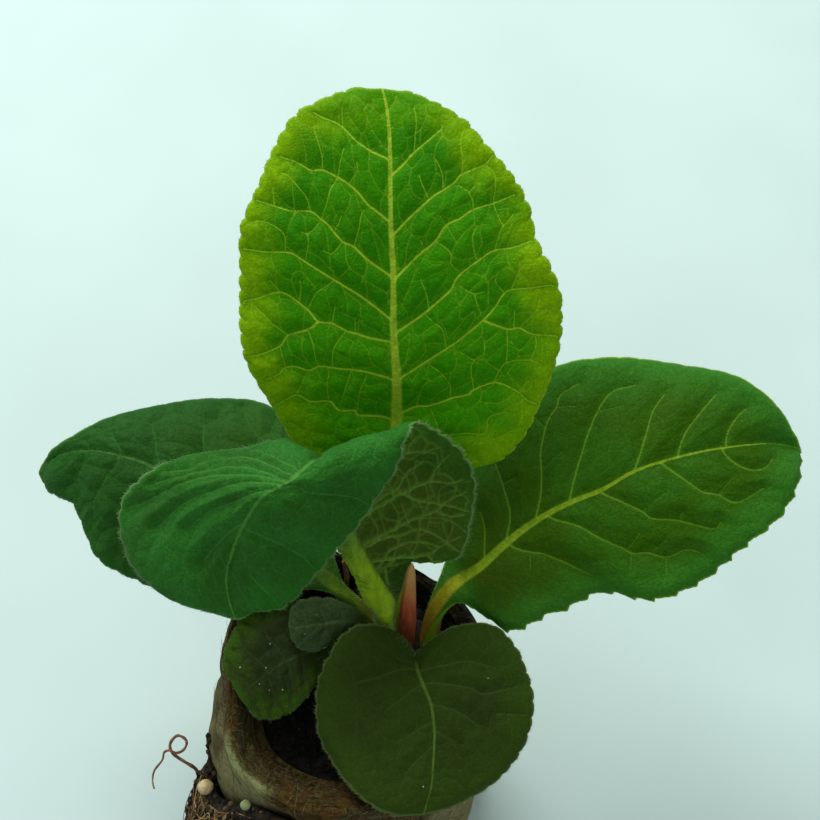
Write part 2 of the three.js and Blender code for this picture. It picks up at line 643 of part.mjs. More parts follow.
function sideSoilGeometry() {
  const { rows, columns } = SIDE_SOIL;
  const points = [];
  [true, false].forEach((outer) => {
    for (let i = 0; i <= rows; i += 1) {
      for (let j = 0; j <= columns; j += 1) {
        points.push(sideSoilPoint(j / columns, i / rows, outer));
      }
    }
  });
  const width = columns + 1;
  const under = width * (rows + 1);
  const faces = [];
  for (let i = 0; i < rows; i += 1) {
    for (let j = 0; j < columns; j += 1) {
      const a = i * width + j;
      [[a, a + 1, a + width + 1], [a, a + width + 1, a + width]].forEach(([p, q, r]) => {
        faces.push([p, q, r], [under + p, under + r, under + q]);
      });
    }
  }
  const wall = (p, q) => faces.push([p, under + p, under + q], [p, under + q, q]);
  for (let i = 0; i < rows; i += 1) {
    wall((i + 1) * width, i * width);
    wall(i * width + columns, (i + 1) * width + columns);
  }
  for (let j = 0; j < columns; j += 1) {
    wall(j, j + 1);
    wall(rows * width + j + 1, rows * width + j);
  }
  return geometryFrom(points, faces);
}

const PELLET_SIDES = 12;
const PELLET_OUT = 1.07; // parts of its radius that its centre stands off the sleeve
// above is how far its centre stands over the soil's edge, more where that edge is steep.
const LARGE_PELLET = { across: 0.19, radius: 1.5, above: 2.25 };
const SMALL_PELLET = { across: 0.57, radius: 0.95, above: 2.1 };

function pelletGeometry(pellet, seed) {
  const { radius } = pellet;
  const centre = pelletCentre(pellet);
  const ball = new THREE.SphereGeometry(radius, PELLET_SIDES, 8);
  const bare = ball.clone();
  bare.deleteAttribute('normal');
  bare.deleteAttribute('uv');
  const merged = mergeVertices(bare, 1e-4);
  const place = merged.attributes.position;
  for (let k = 0; k < place.count; k += 1) {
    const p = new THREE.Vector3().fromBufferAttribute(place, k);
    const dent = 1 + 0.07 * Math.sin(3 * p.x + seed) * Math.sin(2.5 * p.y + seed) - 0.05 * Math.sin(4 * p.z);
    place.setXYZ(k, p.x * dent + centre.x, p.y * dent + centre.y, p.z * dent * 0.92 + centre.z);
  }
  merged.computeVertexNormals();
  return merged;
}

function pelletCentre({ across, radius, above }) {
  // It rests on the upper edge of the side soil, against the sleeve, just clear of both.
  const foot = sideSoilPoint(across, 1, false);
  const out = new THREE.Vector3(foot.x, foot.y, 0).normalize();
  return foot.addScaledVector(out, radius * PELLET_OUT).add(new THREE.Vector3(0, 0, above));
}

// A dry root that leaves the soil, curls once and hangs its tip.
const ROOT = [
  [-28.8, -9.4, 29.4],
  [-29.6, -8.9, 30.6],
  [-31.2, -8.3, 32],
  [-32.8, -7.5, 33],
  [-33.7, -6.6, 34],
  [-33.6, -5.6, 35],
  [-32.4, -4.7, 36],
  [-31.1, -5.1, 36],
  [-30.5, -6.1, 36],
  [-31, -7.4, 36],
  [-32.2, -8, 36],
  [-33.6, -7.7, 36.5],
  [-34.6, -7.9, 35.8],
  [-35, -8.9, 34.6],
  [-36.6, -10.2, 32.6],
  [-36.9, -11.9, 32],
  [-36.5, -13.5, 32],
].map(vec);
const ROOT_FOOT = 0.1; // where along the side soil's upper edge it leaves the soil
const ROOT_RADII = [0.42, 0.42, 0.38, 0.34, 0.3, 0.26, 0.2];

function looseRootGeometry() {
  const start = sideSoilPoint(ROOT_FOOT, 1, true);
  start.z += ROOT_RADII[0] + GAP;
  return loft(ringsAlong([start, ...ROOT], ROOT_RADII, 6, 48));
}

// The whole plant

const plant = new THREE.Group();

function add(name, geometry, surface) {
  const mesh = new THREE.Mesh(geometry, surface);
  mesh.name = name;
  plant.add(mesh);
}

add('fibre_sleeve', sleeveGeometry(), material('fibre', 0x8d8b78, 0.95));
add('soil', soilGeometry(), material('soil', 0x1d1611, 0.95));
add('crown', crownGeometry(), material('crown', 0x4a3a22, 0.9));
Object.entries(LEAVES).forEach(([name, leaf]) => {
  add(name, leafGeometry(leaf), material(name, COLOURS[name], 0.6));
});
add('young_shoot', shootGeometry(), material('shoot', 0xc46a45, 0.55));
add('withered_stalk', stalkGeometry(), material('withered', 0x7a5f34, 0.9));
add('side_soil', sideSoilGeometry(), material('side_soil', 0x241a13, 0.95));
const largePellet = pelletGeometry(LARGE_PELLET, 0.4);
const smallPellet = pelletGeometry(SMALL_PELLET, 1.7);
add('feed_pellet_large', largePellet, material('pellet', 0xcdb98c, 0.7));
add('feed_pellet_small', smallPellet, material('pellet_green', 0x8f9468, 0.7));
add('loose_root', looseRootGeometry(), material('root', 0x6a4630, 0.85));

export default plant;
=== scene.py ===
"""Looks of the young double primrose in its fibre-wrapped plug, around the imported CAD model."""
import json
import math

import bpy
import numpy as np
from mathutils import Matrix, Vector, kdtree
from mathutils.geometry import delaunay_2d_cdt


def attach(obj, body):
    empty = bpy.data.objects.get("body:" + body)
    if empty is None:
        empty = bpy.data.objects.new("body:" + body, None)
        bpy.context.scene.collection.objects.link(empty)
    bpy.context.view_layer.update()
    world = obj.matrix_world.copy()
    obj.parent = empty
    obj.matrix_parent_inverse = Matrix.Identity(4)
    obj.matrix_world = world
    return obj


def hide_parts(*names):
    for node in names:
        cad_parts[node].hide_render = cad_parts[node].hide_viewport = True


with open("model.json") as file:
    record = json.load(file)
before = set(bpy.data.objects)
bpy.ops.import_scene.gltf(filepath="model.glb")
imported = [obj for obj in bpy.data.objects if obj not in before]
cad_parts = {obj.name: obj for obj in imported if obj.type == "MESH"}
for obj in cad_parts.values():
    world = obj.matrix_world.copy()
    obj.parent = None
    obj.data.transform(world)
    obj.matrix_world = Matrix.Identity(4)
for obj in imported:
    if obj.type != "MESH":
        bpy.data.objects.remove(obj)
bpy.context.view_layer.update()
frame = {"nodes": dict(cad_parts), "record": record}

# Lengths in this script are millimetres until a mesh is made, as in the CAD source.
MM = 0.001
SEED = 7

# Camera: the photograph's angle and framing
PHOTO_SIZE = 820
LENS = 80.0
SENSOR = 36.0
FOCAL_PIXELS = LENS / SENSOR * PHOTO_SIZE
CAMERA_PITCH = math.radians(60)
EYE = np.array([10.8, -121.29, 358.72])
LOOK = np.array([0, math.cos(CAMERA_PITCH), -math.sin(CAMERA_PITCH)])
LOOK_UP = np.array([0, math.sin(CAMERA_PITCH), math.cos(CAMERA_PITCH)])
LOOK_RIGHT = np.array([1.0, 0, 0])

# Leaf blades
MESH_STEP = 0.345  # spacing of the points of a leaf
MARGIN_STEP = 0.22
VEIN_STEP = 0.3  # spacing of the points along a vein
HAIR = 0.026  # how thick a hair is at its base
BLADE = 0.46  # thickness of a blade
MARGIN_BLADE = 0.16
TIP_DEPTH = 0.14  # depth of the keel at the leaf's tip
SOFT_TIP = 0.4  # how wide the round valley at the tip is, as a part of the half width
NARROW = 24.0  # where a side of the blade is narrower than this, it is flatter
JOIN_REACH = 0.2  # a followed side vein that starts this near the midrib is led on to it


# Small helpers

def smooth(low, high, value):
    t = np.clip((value - low) / (high - low), 0, 1)
    return t * t * (3 - 2 * t)


def blend(a, b, share):
    return a + (b - a) * share


def unit(vectors):
    length = np.linalg.norm(vectors, axis=-1, keepdims=True)
    return vectors / np.maximum(length, 1e-9)


def curve(points, u):
    """Catmull-Rom through the rows of points, one step of u from each to the next."""
    last = len(points) - 1
    u = np.clip(u, 0, last)
    i = np.minimum(u.astype(int), last - 1)
    t = (u - i)[..., None]
    longer = np.vstack([2 * points[0] - points[1], points, 2 * points[-1] - points[-2]])
    a, b, c, d = (longer[i + k] for k in range(4))
    return 0.5 * (2 * b + (c - a) * t + (2 * a - 5 * b + 4 * c - d) * t**2 + (3 * b - a - 3 * c + d) * t**3)


def length_along(points):
    steps = np.linalg.norm(np.diff(points, axis=0), axis=1)
    return np.concatenate([[0], np.cumsum(steps)])


def waves(points, scale, seed, count=7):
    """A smooth random field between about -1 and 1 with features of about scale mm."""
    random = np.random.default_rng(seed)
    total = 0
    for _ in range(count):
        direction = unit(random.normal(size=3))
        turns = random.uniform(0.6, 1.5) * 2 * math.pi / (scale * 2.2)
        total = total + np.sin(points @ direction * turns + random.uniform(0, 2 * math.pi))
    return total / math.sqrt(count) * 0.8


def nearest(points, targets):
    """Distance from each point to the nearest target, and which one that is."""
    tree = kdtree.KDTree(len(targets))
    for index, target in enumerate(targets):
        tree.insert(target, index)
    tree.balance()
    found = [tree.find(point)[1:] for point in points]
    index, distance = zip(*found)
    return np.array(distance), np.array(index)


def make_object(name, points, faces, materials, slots=None, attributes=None, smooth_shading=True):
    """A mesh object from triangles, with points in mm."""
    mesh = bpy.data.meshes.new(name)
    corners = np.asarray(faces, dtype=np.int32).ravel()
    mesh.vertices.add(len(points))
    mesh.vertices.foreach_set("co", (np.asarray(points) * MM).astype(np.float32).ravel())
    mesh.loops.add(len(corners))
    mesh.loops.foreach_set("vertex_index", corners)
    mesh.polygons.add(len(corners) // 3)
    mesh.polygons.foreach_set("loop_start", np.arange(0, len(corners), 3, dtype=np.int32))
    if slots is not None:
        mesh.polygons.foreach_set("material_index", np.asarray(slots, dtype=np.int32))
    mesh.update(calc_edges=True)
    mesh.validate()
    for key, values in (attributes or {}).items():
        layer = mesh.attributes.new(key, "FLOAT", "POINT")
        layer.data.foreach_set("value", np.asarray(values, dtype=np.float32))
    if smooth_shading:
        mesh.shade_smooth()
    for material in materials:
        mesh.materials.append(material)
    made = bpy.data.objects.new(name, mesh)
    bpy.context.scene.collection.objects.link(made)
    return made


def place(made, slot, *nodes):
    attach(made, "root")
    if nodes:
        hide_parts(*nodes)
    return made


def to_photo(points):
    """Where points in mm are seen in the photograph, in its pixels."""
    offset = points - EYE
    depth = offset @ LOOK
    half = PHOTO_SIZE / 2
    across = half + FOCAL_PIXELS * (offset @ LOOK_RIGHT) / depth
    down = half - FOCAL_PIXELS * (offset @ LOOK_UP) / depth
    return np.stack([across, down], axis=-1)


# Leaf forms, the same as the CAD solids' own
#
# A leaf is a run of stations from its foot to its tip: a point on the midrib, on the left margin and on
# the right one, seen from above with the tip pointing away. stalk holds how deep the stalk is at its
# foot and half the width of the keel, belly how far each half of the blade bulges between midrib and
# margin, and ripple how far the margin waves up and down.

def petiole(rib, half, across):
    """A station of the stalk."""
    side = unit(np.array(across, dtype=float)) * half
    return [rib, rib - side, rib + side]


LEAVES = {
    "leaf_back": {
        "stalk": [2.6, 1.7],
        "belly": 1.2,
        "ripple": 0.5,
        "stations": [
            petiole([9.8, 10.8, 50], 1.6, [1, 0, 0]),
            petiole([9.6, 12, 54], 1.6, [1, 0, 0]),
            petiole([9.1, 16, 59.5], 1.8, [1, 0, 0]),
            petiole([8.7, 21, 65], 2.1, [1, 0, 0]),
            [[8.5, 25.5, 70], [5.5, 27.5, 72], [12, 27.5, 72.5]],
            [[8.5, 27.5, 72.5], [-2, 29.5, 76.5], [20, 29.5, 76.5]],
            [[8.5, 30, 75.5], [-9, 31.5, 81.5], [27.5, 30.5, 79.5]],
            [[8.5, 32.5, 80.5], [-13.5, 36.5, 88.5], [33, 35.5, 87]],
            [[8.5, 36.5, 85], [-17, 41.5, 96], [36.5, 42, 96.5]],
            [[8.5, 40, 91], [-18, 48, 102.5], [35.5, 49, 104]],
            [[8, 45.5, 97], [-17.5, 56, 109], [32.5, 55.5, 109]],
            [[8, 52, 103.5], [-14.5, 64.5, 114.5], [29.5, 63, 113.5]],
            [[7.5, 59, 108.5], [-9.5, 72.5, 118], [25, 69, 116]],
            [[7.5, 68, 113.5], [-3.5, 77, 119], [18, 75, 118.5]],
            [[7, 74.5, 117], [1.5, 79, 119.5], [12, 78.5, 119]],
        ],
        "tip": [6, 80, 119],
    },
    "leaf_right": {
        "stalk": [2.6, 1.7],
        "belly": 1.4,
        "ripple": 0.6,
        "stations": [
            petiole([13.2, 8.2, 50.3], 1.6, [0, -1, 0]),
            petiole([15, 11.5, 55.5], 1.8, [0.5, -1, -0.2]),
            [[18, 14.5, 59.5], [16.5, 17.5, 60], [19.5, 12, 58.5]],
            [[20.5, 16, 61], [18, 22, 62], [24, 9.5, 58.5]],
            [[23.5, 17, 63.5], [19, 27.5, 65], [29, 6.5, 59]],
            [[28, 20, 67], [22.5, 36.5, 69], [36.5, 8.5, 62]],
            [[33, 22.5, 70.5], [29.5, 45.5, 73.5], [44.5, 11, 65.5]],
            [[39, 24.5, 74], [37, 50.5, 77], [53, 8.5, 67.5]],
            [[44.5, 26, 76], [47.5, 51, 79], [61, 11, 69.5]],
            [[50, 28.5, 78], [59, 49, 80.5], [67.5, 15, 72.5]],
            [[58, 31, 79], [68.5, 46, 81], [75, 21, 74.5]],
            [[66, 33, 79], [75.5, 41, 80], [78.5, 26, 76]],
            [[73.5, 35, 77], [79, 36.5, 77], [80, 31, 75]],
        ],
        "tip": [80.5, 35, 74],
    },
    "leaf_arching": {
        "stalk": [2.6, 1.5],
        "belly": 1,
        "ripple": 0.5,
        "stations": [
            petiole([6.9, 7.2, 49.9], 1.6, [-1, 0, 0]),
            petiole([6.6, 8.4, 55], 1.7, [-1, 0, 0]),
            petiole([6.1, 9.8, 60], 1.9, [-1, -0.3, 0]),
            [[4.5, 12, 65], [9.5, 15, 62], [3.5, 14, 64]],
            [[3.5, 13.5, 68.5], [12.5, 18, 66], [2.5, 17, 65]],
            [[2.5, 14, 72], [19, 16, 69], [1, 19, 67]],
            [[1, 15, 76], [22, 22.5, 77], [-0.5, 21, 70]],
            [[0, 16.5, 81], [21.5, 26, 84], [-2.5, 24, 74]],
            [[-1.5, 18, 89.5], [16, 27, 93], [-5, 27.5, 80]],
            [[-3.5, 20, 97], [11.5, 26, 100], [-10.5, 28, 89]],
            [[-6.5, 17, 100], [10, 22, 101], [-15, 25, 93]],
            [[-9, 14.5, 100.5], [8, 17.5, 98], [-22.5, 25, 91]],
            [[-13, 12.5, 99], [2.5, 12, 91], [-32, 23, 89]],
            [[-15.5, 10, 94.5], [-4, 8, 83], [-38, 19.5, 83]],
            [[-16.5, 7.5, 88.5], [-10, 3, 78], [-37, 12, 77]],
            [[-17.5, 4, 82], [-15, 2.5, 76.5], [-29, 5.5, 74]],
        ],
        "tip": [-18, 1, 76],
    },
    "leaf_left": {
        "stalk": [2.3, 1.4],
        "belly": 2.5,
        "ripple": 0.5,
        "stations": [
            petiole([5.2, 10.6, 50.4], 1.3, [0.2, 1, 0]),
            petiole([2, 12.8, 54.8], 1.3, [0.3, 1, 0]),
            petiole([-1.6, 14.9, 57.8], 1.5, [0.3, 1, 0]),
            [[-4.5, 16.5, 60], [-7, 15, 58], [-3, 20.5, 60]],
            [[-8, 18.5, 63], [-13, 14, 57.5], [-7, 29, 62]],
            [[-12.5, 20.5, 65.5], [-19.5, 11, 57], [-10, 40, 63.5]],
            [[-17.5, 23.5, 68], [-28, 12, 58], [-15, 49, 65]],
            [[-25.5, 27.5, 71], [-37, 15.5, 60], [-25.5, 49.5, 67]],
            [[-34, 31.5, 73], [-44.5, 18.5, 62.5], [-37, 46, 70]],
            [[-40, 34.5, 73.5], [-47.5, 23, 65], [-44, 42.5, 72]],
            [[-45.5, 37.5, 72.5], [-50, 28.5, 66], [-49.5, 39.5, 71.5]],
            [[-51.5, 38, 70], [-54, 30.5, 66], [-54, 37.5, 69.5]],
        ],
        "tip": [-57, 34.5, 66],
    },
    "leaf_front": {
        "stalk": [1.8, 1],
        "belly": 1.2,
        "ripple": 0.4,
        "stations": [
            petiole([10.6, 4.6, 49.9], 1.2, [-1, 0, 0]),
            petiole([10.6, 3.6, 54], 1.2, [-1, 0, 0]),
            [[10.5, 2.5, 58], [11.5, 2, 58.5], [9.5, 4.5, 59]],
            [[11.5, 0.5, 59.5], [14, 3.5, 60.5], [7, 6, 61.5]],
            [[12, -1, 60.5], [18.5, 6, 62], [2, 6, 62.5]],
            [[12.5, -3, 61], [25, 6.5, 61.5], [-2, 3.5, 61]],
            [[13.5, -5.5, 61], [30, 2, 59.5], [-5, -1.5, 58]],
            [[14.5, -8, 60], [32, -3.5, 57.5], [-5.5, -6.5, 56]],
            [[15, -11.5, 58.5], [32, -8.5, 55.5], [-4.5, -12.5, 55]],
            [[15, -15, 56.5], [30, -14, 53.5], [-1.5, -18, 54.5]],
            [[14.5, -18.5, 54.5], [25.5, -19, 52], [3.5, -23, 54]],
            [[14, -21.5, 52.5], [18.5, -23, 51.5], [8, -25, 53]],
        ],
        "tip": [13, -24.5, 51],
    },
    "leaf_low_left": {
        "stalk": [1.4, 0.8],
        "belly": 0.8,
        "ripple": 0.3,
        "stations": [
            petiole([5.1, 4.2, 50], 0.9, [-0.6, 0.8, 0]),
            petiole([1.8, 4.6, 52.4], 1, [0, 1, 0]),
            [[-1.5, 5, 53.5], [-2, 2.5, 53], [-2.5, 6.5, 54]],
            [[-5.5, 4.5, 55], [-5, 0, 53.5], [-6, 12, 55]],
            [[-8.5, 3.5, 55.5], [-7, -3, 54], [-11.5, 14.5, 55]],
            [[-11, 2, 55.5], [-9, -5.5, 54], [-18, 12.5, 55]],
            [[-13.5, -0.5, 55.5], [-12, -7.5, 54], [-21, 7.5, 55]],
            [[-16.5, -2.5, 55.5], [-16, -8, 54.5], [-22.5, 2, 55]],
        ],
        "tip": [-19.5, -4.5, 55],
    },
    "leaf_small": {
        "stalk": [1.2, 0.7],
        "belly": 0.6,
        "ripple": 0.2,
        "stations": [
            petiole([4.3, 7.3, 50], 0.8, [0, 1, 0]),
            petiole([3.2, 8.2, 54], 0.8, [0, 1, 0]),
            [[1.5, 9, 57.5], [0.5, 8, 57], [1, 11, 58]],
            [[-1, 8.5, 58.5], [-2, 6, 57.5], [-2, 12.5, 58.5]],
            [[-4, 8, 59], [-5, 3.5, 58], [-5.5, 13, 58.5]],
            [[-7, 7.5, 59], [-8, 3.5, 58], [-8.5, 12.5, 58.5]],
            [[-9, 7, 58.5], [-10, 5, 58], [-10.5, 11, 58]],
        ],
        "tip": [-11, 8, 58],
    },
}

# Veins, followed along the photograph, as points in its pixels
#
# Each leaf has runs of its side veins and of the cross veins between them. between holds the
# stations of the leaf among which they are looked for.

PHOTO_VEINS = {
    "leaf_back": {
        "between": [4, 15],
        "side": [
            [(385, 158), (366.6, 147.7), (355, 138.5), (343, 126.5), (333, 122.5), (323, 118.5),
             (315.5, 113.9)],
            [(389.6, 220), (379.2, 212), (367.8, 202.8), (357.4, 193), (349.4, 184.5), (337.3, 177.6),
             (323, 170), (312.7, 170), (302.3, 165.5), (292, 161.5), (279.4, 156.3)],
            [(391, 277), (367.8, 259), (354, 247.6), (342.5, 241.9), (334.5, 231.5), (327.6, 224.6),
             (320.7, 220), (310.4, 212.6), (292, 210.9), (273.6, 205.7), (255.3, 199.4)],
            [(391.4, 319.5), (379.2, 309.3), (361.4, 296.6), (343.5, 286.4), (334.6, 281.3), (303.5, 260),
             (292, 254.5), (286.3, 252.2), (264.4, 251), (243.8, 248.8)],
            [(391.4, 342.5), (369, 337.4), (357.6, 333.6), (345.4, 331), (332.7, 324), (318, 321.5),
             (309, 310.6), (298.9, 301.7), (281, 292.8), (256.8, 299), (240.2, 301)],
            [(318, 321.5), (309, 329), (288.7, 336), (279, 346.3), (264.4, 352), (250.4, 357.8)],
            [(389.4, 378.2), (370.3, 373), (352.4, 370.6), (332, 368), (319.3, 366.7), (309, 370),
             (296.3, 366.7), (284.8, 367.4), (279.7, 373), (267, 380.8)],
            [(385, 417.8), (358.8, 414.6), (355, 411.4), (339.7, 410), (329.5, 402.4), (311.6, 401.8),
             (297.6, 394.8), (286, 401), (270.8, 408.8)],
            [(391, 174.7), (399.4, 167.4), (414.5, 152.9), (428.5, 141.3), (439.4, 129.8), (441.8, 125.6)],
            [(396.4, 232.2), (407.9, 220.7), (429.7, 200.1), (443, 189.2), (453.9, 181.9), (460.6, 175.3),
             (472, 169.8), (484.2, 163.8), (495, 154)],
            [(400, 274), (416.4, 258.3), (434.5, 241.3), (445.4, 226.8), (458.8, 218.3), (472.7, 209.8),
             (493.9, 201.9), (514.5, 195.3)],
            [(400, 330.6), (421.2, 316), (443, 297.9), (451.5, 290.6), (458.8, 276), (478, 259.5),
             (493.9, 250.4), (512, 248.6), (525.4, 243.7), (538.7, 237.7)],
            [(401.8, 377.2), (416.4, 368.1), (432.1, 357.2), (452.7, 345.1), (464.8, 335.4), (481.8, 319.7),
             (493.9, 307.6), (503.6, 294.2), (510.9, 290), (535, 288.8), (553.3, 286.4)],
            [(401.8, 413), (417.6, 405.7), (430.9, 404.5), (452.7, 397.8), (469.7, 394.8), (472, 391.2),
             (493.9, 383.9), (519.3, 393.6), (527.8, 400.9), (544.8, 402.7)],
            [(482.4, 320.3), (506, 329.4), (519.3, 328.8), (535, 335.4), (559.3, 336.6)],
        ],
        "cross": [
            [(343, 126.5), (342, 109.8)],
            [(323, 170), (320.7, 155.8), (316.7, 142), (313.8, 131.7), (314.4, 126)],
            [(337.3, 177.6), (340, 165), (343, 148.9)],
            [(337.3, 177.6), (329.9, 191.4), (326.4, 204), (321.3, 216.6)],
            [(349.4, 184.5), (351.7, 178.7), (356.9, 170.7), (357.4, 162.7)],
            [(310.4, 212.6), (305.8, 198.2), (298.9, 188.5), (287.4, 176.4), (280.5, 174.7)],
            [(273.6, 205.7), (273, 194.8), (271.9, 187.9)],
            [(321, 220.5), (316, 225.8), (308, 233.8), (300, 232.7)],
            [(307, 233.8), (308.6, 243), (305.2, 259)],
            [(334.5, 231), (337.9, 223.5), (341.4, 215.5)],
            [(354, 246.5), (357.4, 230.4), (362, 214.3), (365.5, 209.7)],
            [(342, 242.4), (332.2, 252.2), (321.8, 251)],
            [(286.3, 252.2), (283.4, 235), (266.7, 222.4), (249.5, 223.5)],
            [(281, 292.8), (270.8, 280)],
            [(288.7, 336), (277.2, 327.2), (268.3, 320.8), (264.4, 313.8), (255.5, 306.8)],
            [(309, 329), (313.5, 345), (315.5, 359), (318.6, 366.7)],
            [(345.4, 331), (334.6, 346.3), (332.7, 356.5), (332, 368)],
            [(279, 346.3), (282.3, 356.5), (284.8, 366.7)],
            [(309, 309.3), (314.2, 295.3), (319.3, 290.2), (334.6, 280.6)],
            [(298.9, 301), (302, 289), (300.8, 280)],
            [(332.7, 322.7), (334, 306.8)],
            [(355, 331), (355.6, 318.3)],
            [(328, 368), (328, 374.4), (327, 383.3), (328.9, 402.4)],
            [(309, 370), (302.7, 380.8), (298.9, 393.5)],
            [(351.2, 371.8), (345.4, 384.6), (342.2, 402.4)],
            [(366.5, 374.4), (360, 389.7), (357.6, 410)],
            [(297.6, 393.5), (287.4, 385.9)],
            [(380.4, 115.6), (389.6, 107.6), (395.3, 101.8), (396.5, 96)],
            [(413.9, 151.6), (415.1, 137.1), (416.4, 123.8), (414.5, 109.2)],
            [(428.5, 198.9), (422.4, 184.4), (418.8, 174.7)],
            [(443.6, 188), (441.2, 173.5), (438.2, 163.8), (433.3, 157.7)],
            [(461.4, 174), (461.8, 160), (460.2, 143.2), (463, 132.3)],
            [(485.4, 165), (495, 174.7), (494.5, 201.3)],
            [(445.4, 225.6), (440.6, 216.5)],
            [(472.7, 208.6), (472, 198.9), (468.5, 191.6), (480, 183.1)],
            [(468.5, 191.6), (458.8, 185.6)],
            [(434.5, 242.5), (444.2, 247.4), (450.3, 253.4), (451.5, 264.3), (458.8, 272.8)],
            [(423.6, 247.4), (418.8, 235.2)],
            [(493.3, 202.5), (496.3, 213.4), (503, 224.3), (514.5, 214.6)],
            [(503, 224.3), (500, 235.2), (494.5, 250.4)],
            [(427.9, 308.8), (427.3, 297.9), (425.4, 290), (421.2, 280.9)],
            [(477, 259.5), (471.5, 238.9), (477, 228), (485.4, 224.3)],
            [(424.8, 314.8), (434.5, 322.1), (442.4, 329.4), (444.8, 345.1)],
            [(457.5, 284.5), (473.3, 293), (484.2, 291.8)],
            [(474.5, 294.2), (477, 303.9), (481.8, 316)],
            [(504.8, 293), (495.7, 281.5), (498.7, 271.2)],
            [(511.5, 289.4), (519.3, 271.2), (523, 265.5)],
            [(520, 328.2), (535.7, 310.6), (540, 299)],
            [(535.7, 310.6), (554.5, 311.8)],
            [(513.3, 328.2), (513.9, 310)],
            [(507.2, 329.4), (506, 362.1)],
            [(535.7, 336), (536.3, 343.9), (530.3, 359.7)],
            [(494.5, 383.3), (497.5, 374.2), (506, 362.1), (529, 359.7), (542.4, 365.7)],
            [(520, 393.6), (525.4, 383.9), (529, 379)],
            [(473.3, 391.2), (471.5, 370.6), (473.9, 360.3), (483, 352.4), (484.2, 339.7)],
            [(473.9, 360.3), (458.8, 351.2)],
            [(451.5, 397.2), (449, 382.7), (440.6, 371.8), (430.9, 364.5)],
            [(417.6, 404.5), (421.2, 392.4)],
            [(437, 434.2), (466, 432.4), (485.4, 431.2), (487.8, 419), (498.7, 413), (508.4, 411.8)],
            [(430.9, 409.3), (439.4, 431)],
        ],
    },
    "leaf_right": {
        "between": [3, 13],
        "side": [
            [(485.3, 551), (483.4, 528.2), (479.5, 511.6)],
            [(506.3, 539.6), (508.9, 514), (502.5, 487.3), (493.6, 461.8)],
            [(535.7, 521.8), (540.8, 495), (542, 470.8), (540.8, 454), (544, 430), (549.7, 417),
             (556.7, 407), (560.5, 395.5), (580, 384)],
            [(570, 498.8), (580.3, 458), (586.7, 436.3), (598.8, 410.8), (601.9, 401.9), (612.8, 390.4),
             (635.8, 384.7)],
            [(635.5, 467.7), (644.6, 437.9), (652.9, 413), (664.5, 394.8)],
            [(679.4, 452.8), (686, 431.3), (697.6, 414.7), (715.9, 394.8)],
            [(725.8, 444.5), (734, 423), (745.7, 408)],
            [(516.5, 548.6), (529.3, 552.4), (543.3, 553.7), (561.2, 561.3), (580.3, 569), (593, 574.7)],
            [(556, 520.5), (580.3, 526.9), (598.2, 537), (624, 548.8), (633, 553), (648, 553),
             (665.3, 558), (686, 550.7), (701, 551.5)],
            [(601.5, 492.6), (621.4, 501.7), (641.3, 511.7), (652.9, 518.3), (676, 520.8), (712.6, 529),
             (720.9, 522.5)],
            [(664.5, 464.4), (684.4, 478.5), (702.6, 491), (719.2, 495), (737.5, 501.7), (764, 487.6)],
            [(721.7, 447.8), (744, 466.9), (764, 468.6), (774, 457.8)],
        ],
        "cross": [
            [(503, 484), (516.5, 479)],
            [(544.6, 468), (565, 451.6)],
            [(544.6, 427.4), (534.4, 417)],
            [(556.7, 407.6), (575.2, 407.6)],
            [(582.9, 452.9), (593, 446.5)],
            [(599.4, 411.5), (623.7, 407.6)],
            [(530.6, 552.4), (530.6, 569)],
            [(584.9, 567), (601.5, 559)],
            [(632, 554), (629.7, 568.9)],
            [(665.3, 558), (666, 573.9)],
            [(652.9, 550.7), (666, 539)],
            [(629.7, 547.3), (639.6, 532.4)],
            [(643, 510), (666, 493.5)],
            [(677.7, 520), (684.4, 512.5)],
            [(719.2, 494.3), (732.5, 476.9)],
        ],
    },
    "leaf_arching": {
        "between": [9, 16],
        "side": [
            [(300, 470.8), (277, 459.3), (255.3, 450.4)],
            [(291, 474), (274.4, 467), (255.3, 459.3), (236, 457.4), (212, 460.6), (191.5, 468.3),
             (166, 472)],
            [(283.4, 478.5), (261.7, 470.8), (237.4, 467), (210.7, 469.5), (186.4, 474.6), (153.3, 483.6)],
            [(280.8, 479.7), (252.8, 474), (219.6, 474.6), (196.6, 479), (178.8, 484.8), (146.9, 501.4),
             (127.8, 507.8)],
            [(273.2, 482.3), (242.6, 482.3), (212, 491.2), (186.4, 501.4), (166, 519.3), (157, 527)],
            [(265.5, 488.7), (237.4, 500), (206.8, 513), (186.4, 530.8)],
            [(245, 524.4), (236, 528), (217, 544.8), (203, 561.4)],
            [(284.6, 486), (300, 488.7), (310, 494), (348, 497.3), (367, 505)],
            [(248.3, 532), (274.4, 541), (300, 555), (312.7, 567.8)],
            [(250.2, 574), (265.5, 590.7), (275.7, 599.6)],
        ],
        "cross": [],
    },
    "leaf_arching_inside": {
        "between": [3, 9],
        "side": [
            [(368.7, 503.6), (381.5, 495.7), (397.4, 486), (403.8, 473.3), (421.3, 459)],
            [(397.4, 489.3), (416.5, 498.9), (443.6, 503.6), (469.2, 510)],
            [(365.5, 543.5), (383, 535.5), (402.2, 533.9), (418, 527.6), (434, 533.9), (450, 543.5),
             (458, 551.5)],
            [(376.7, 564.2), (386.3, 551.5), (399, 543.5), (421.3, 540.3), (437.3, 545)],
            [(383, 580), (391, 559.4), (405.4, 553)],
        ],
        "cross": [
            [(437.3, 500.4), (440.5, 487.7), (453.2, 481.3), (470.8, 479.7)],
            [(416.5, 498.9), (421.3, 511.6), (418, 527.6)],
            [(419.7, 518), (445.2, 518), (466, 532.3)],
            [(378.3, 508.4), (384.7, 532.3)],
            [(400.6, 503.6), (407, 522.8)],
        ],
    },
    "leaf_front": {
        "between": [3, 12],
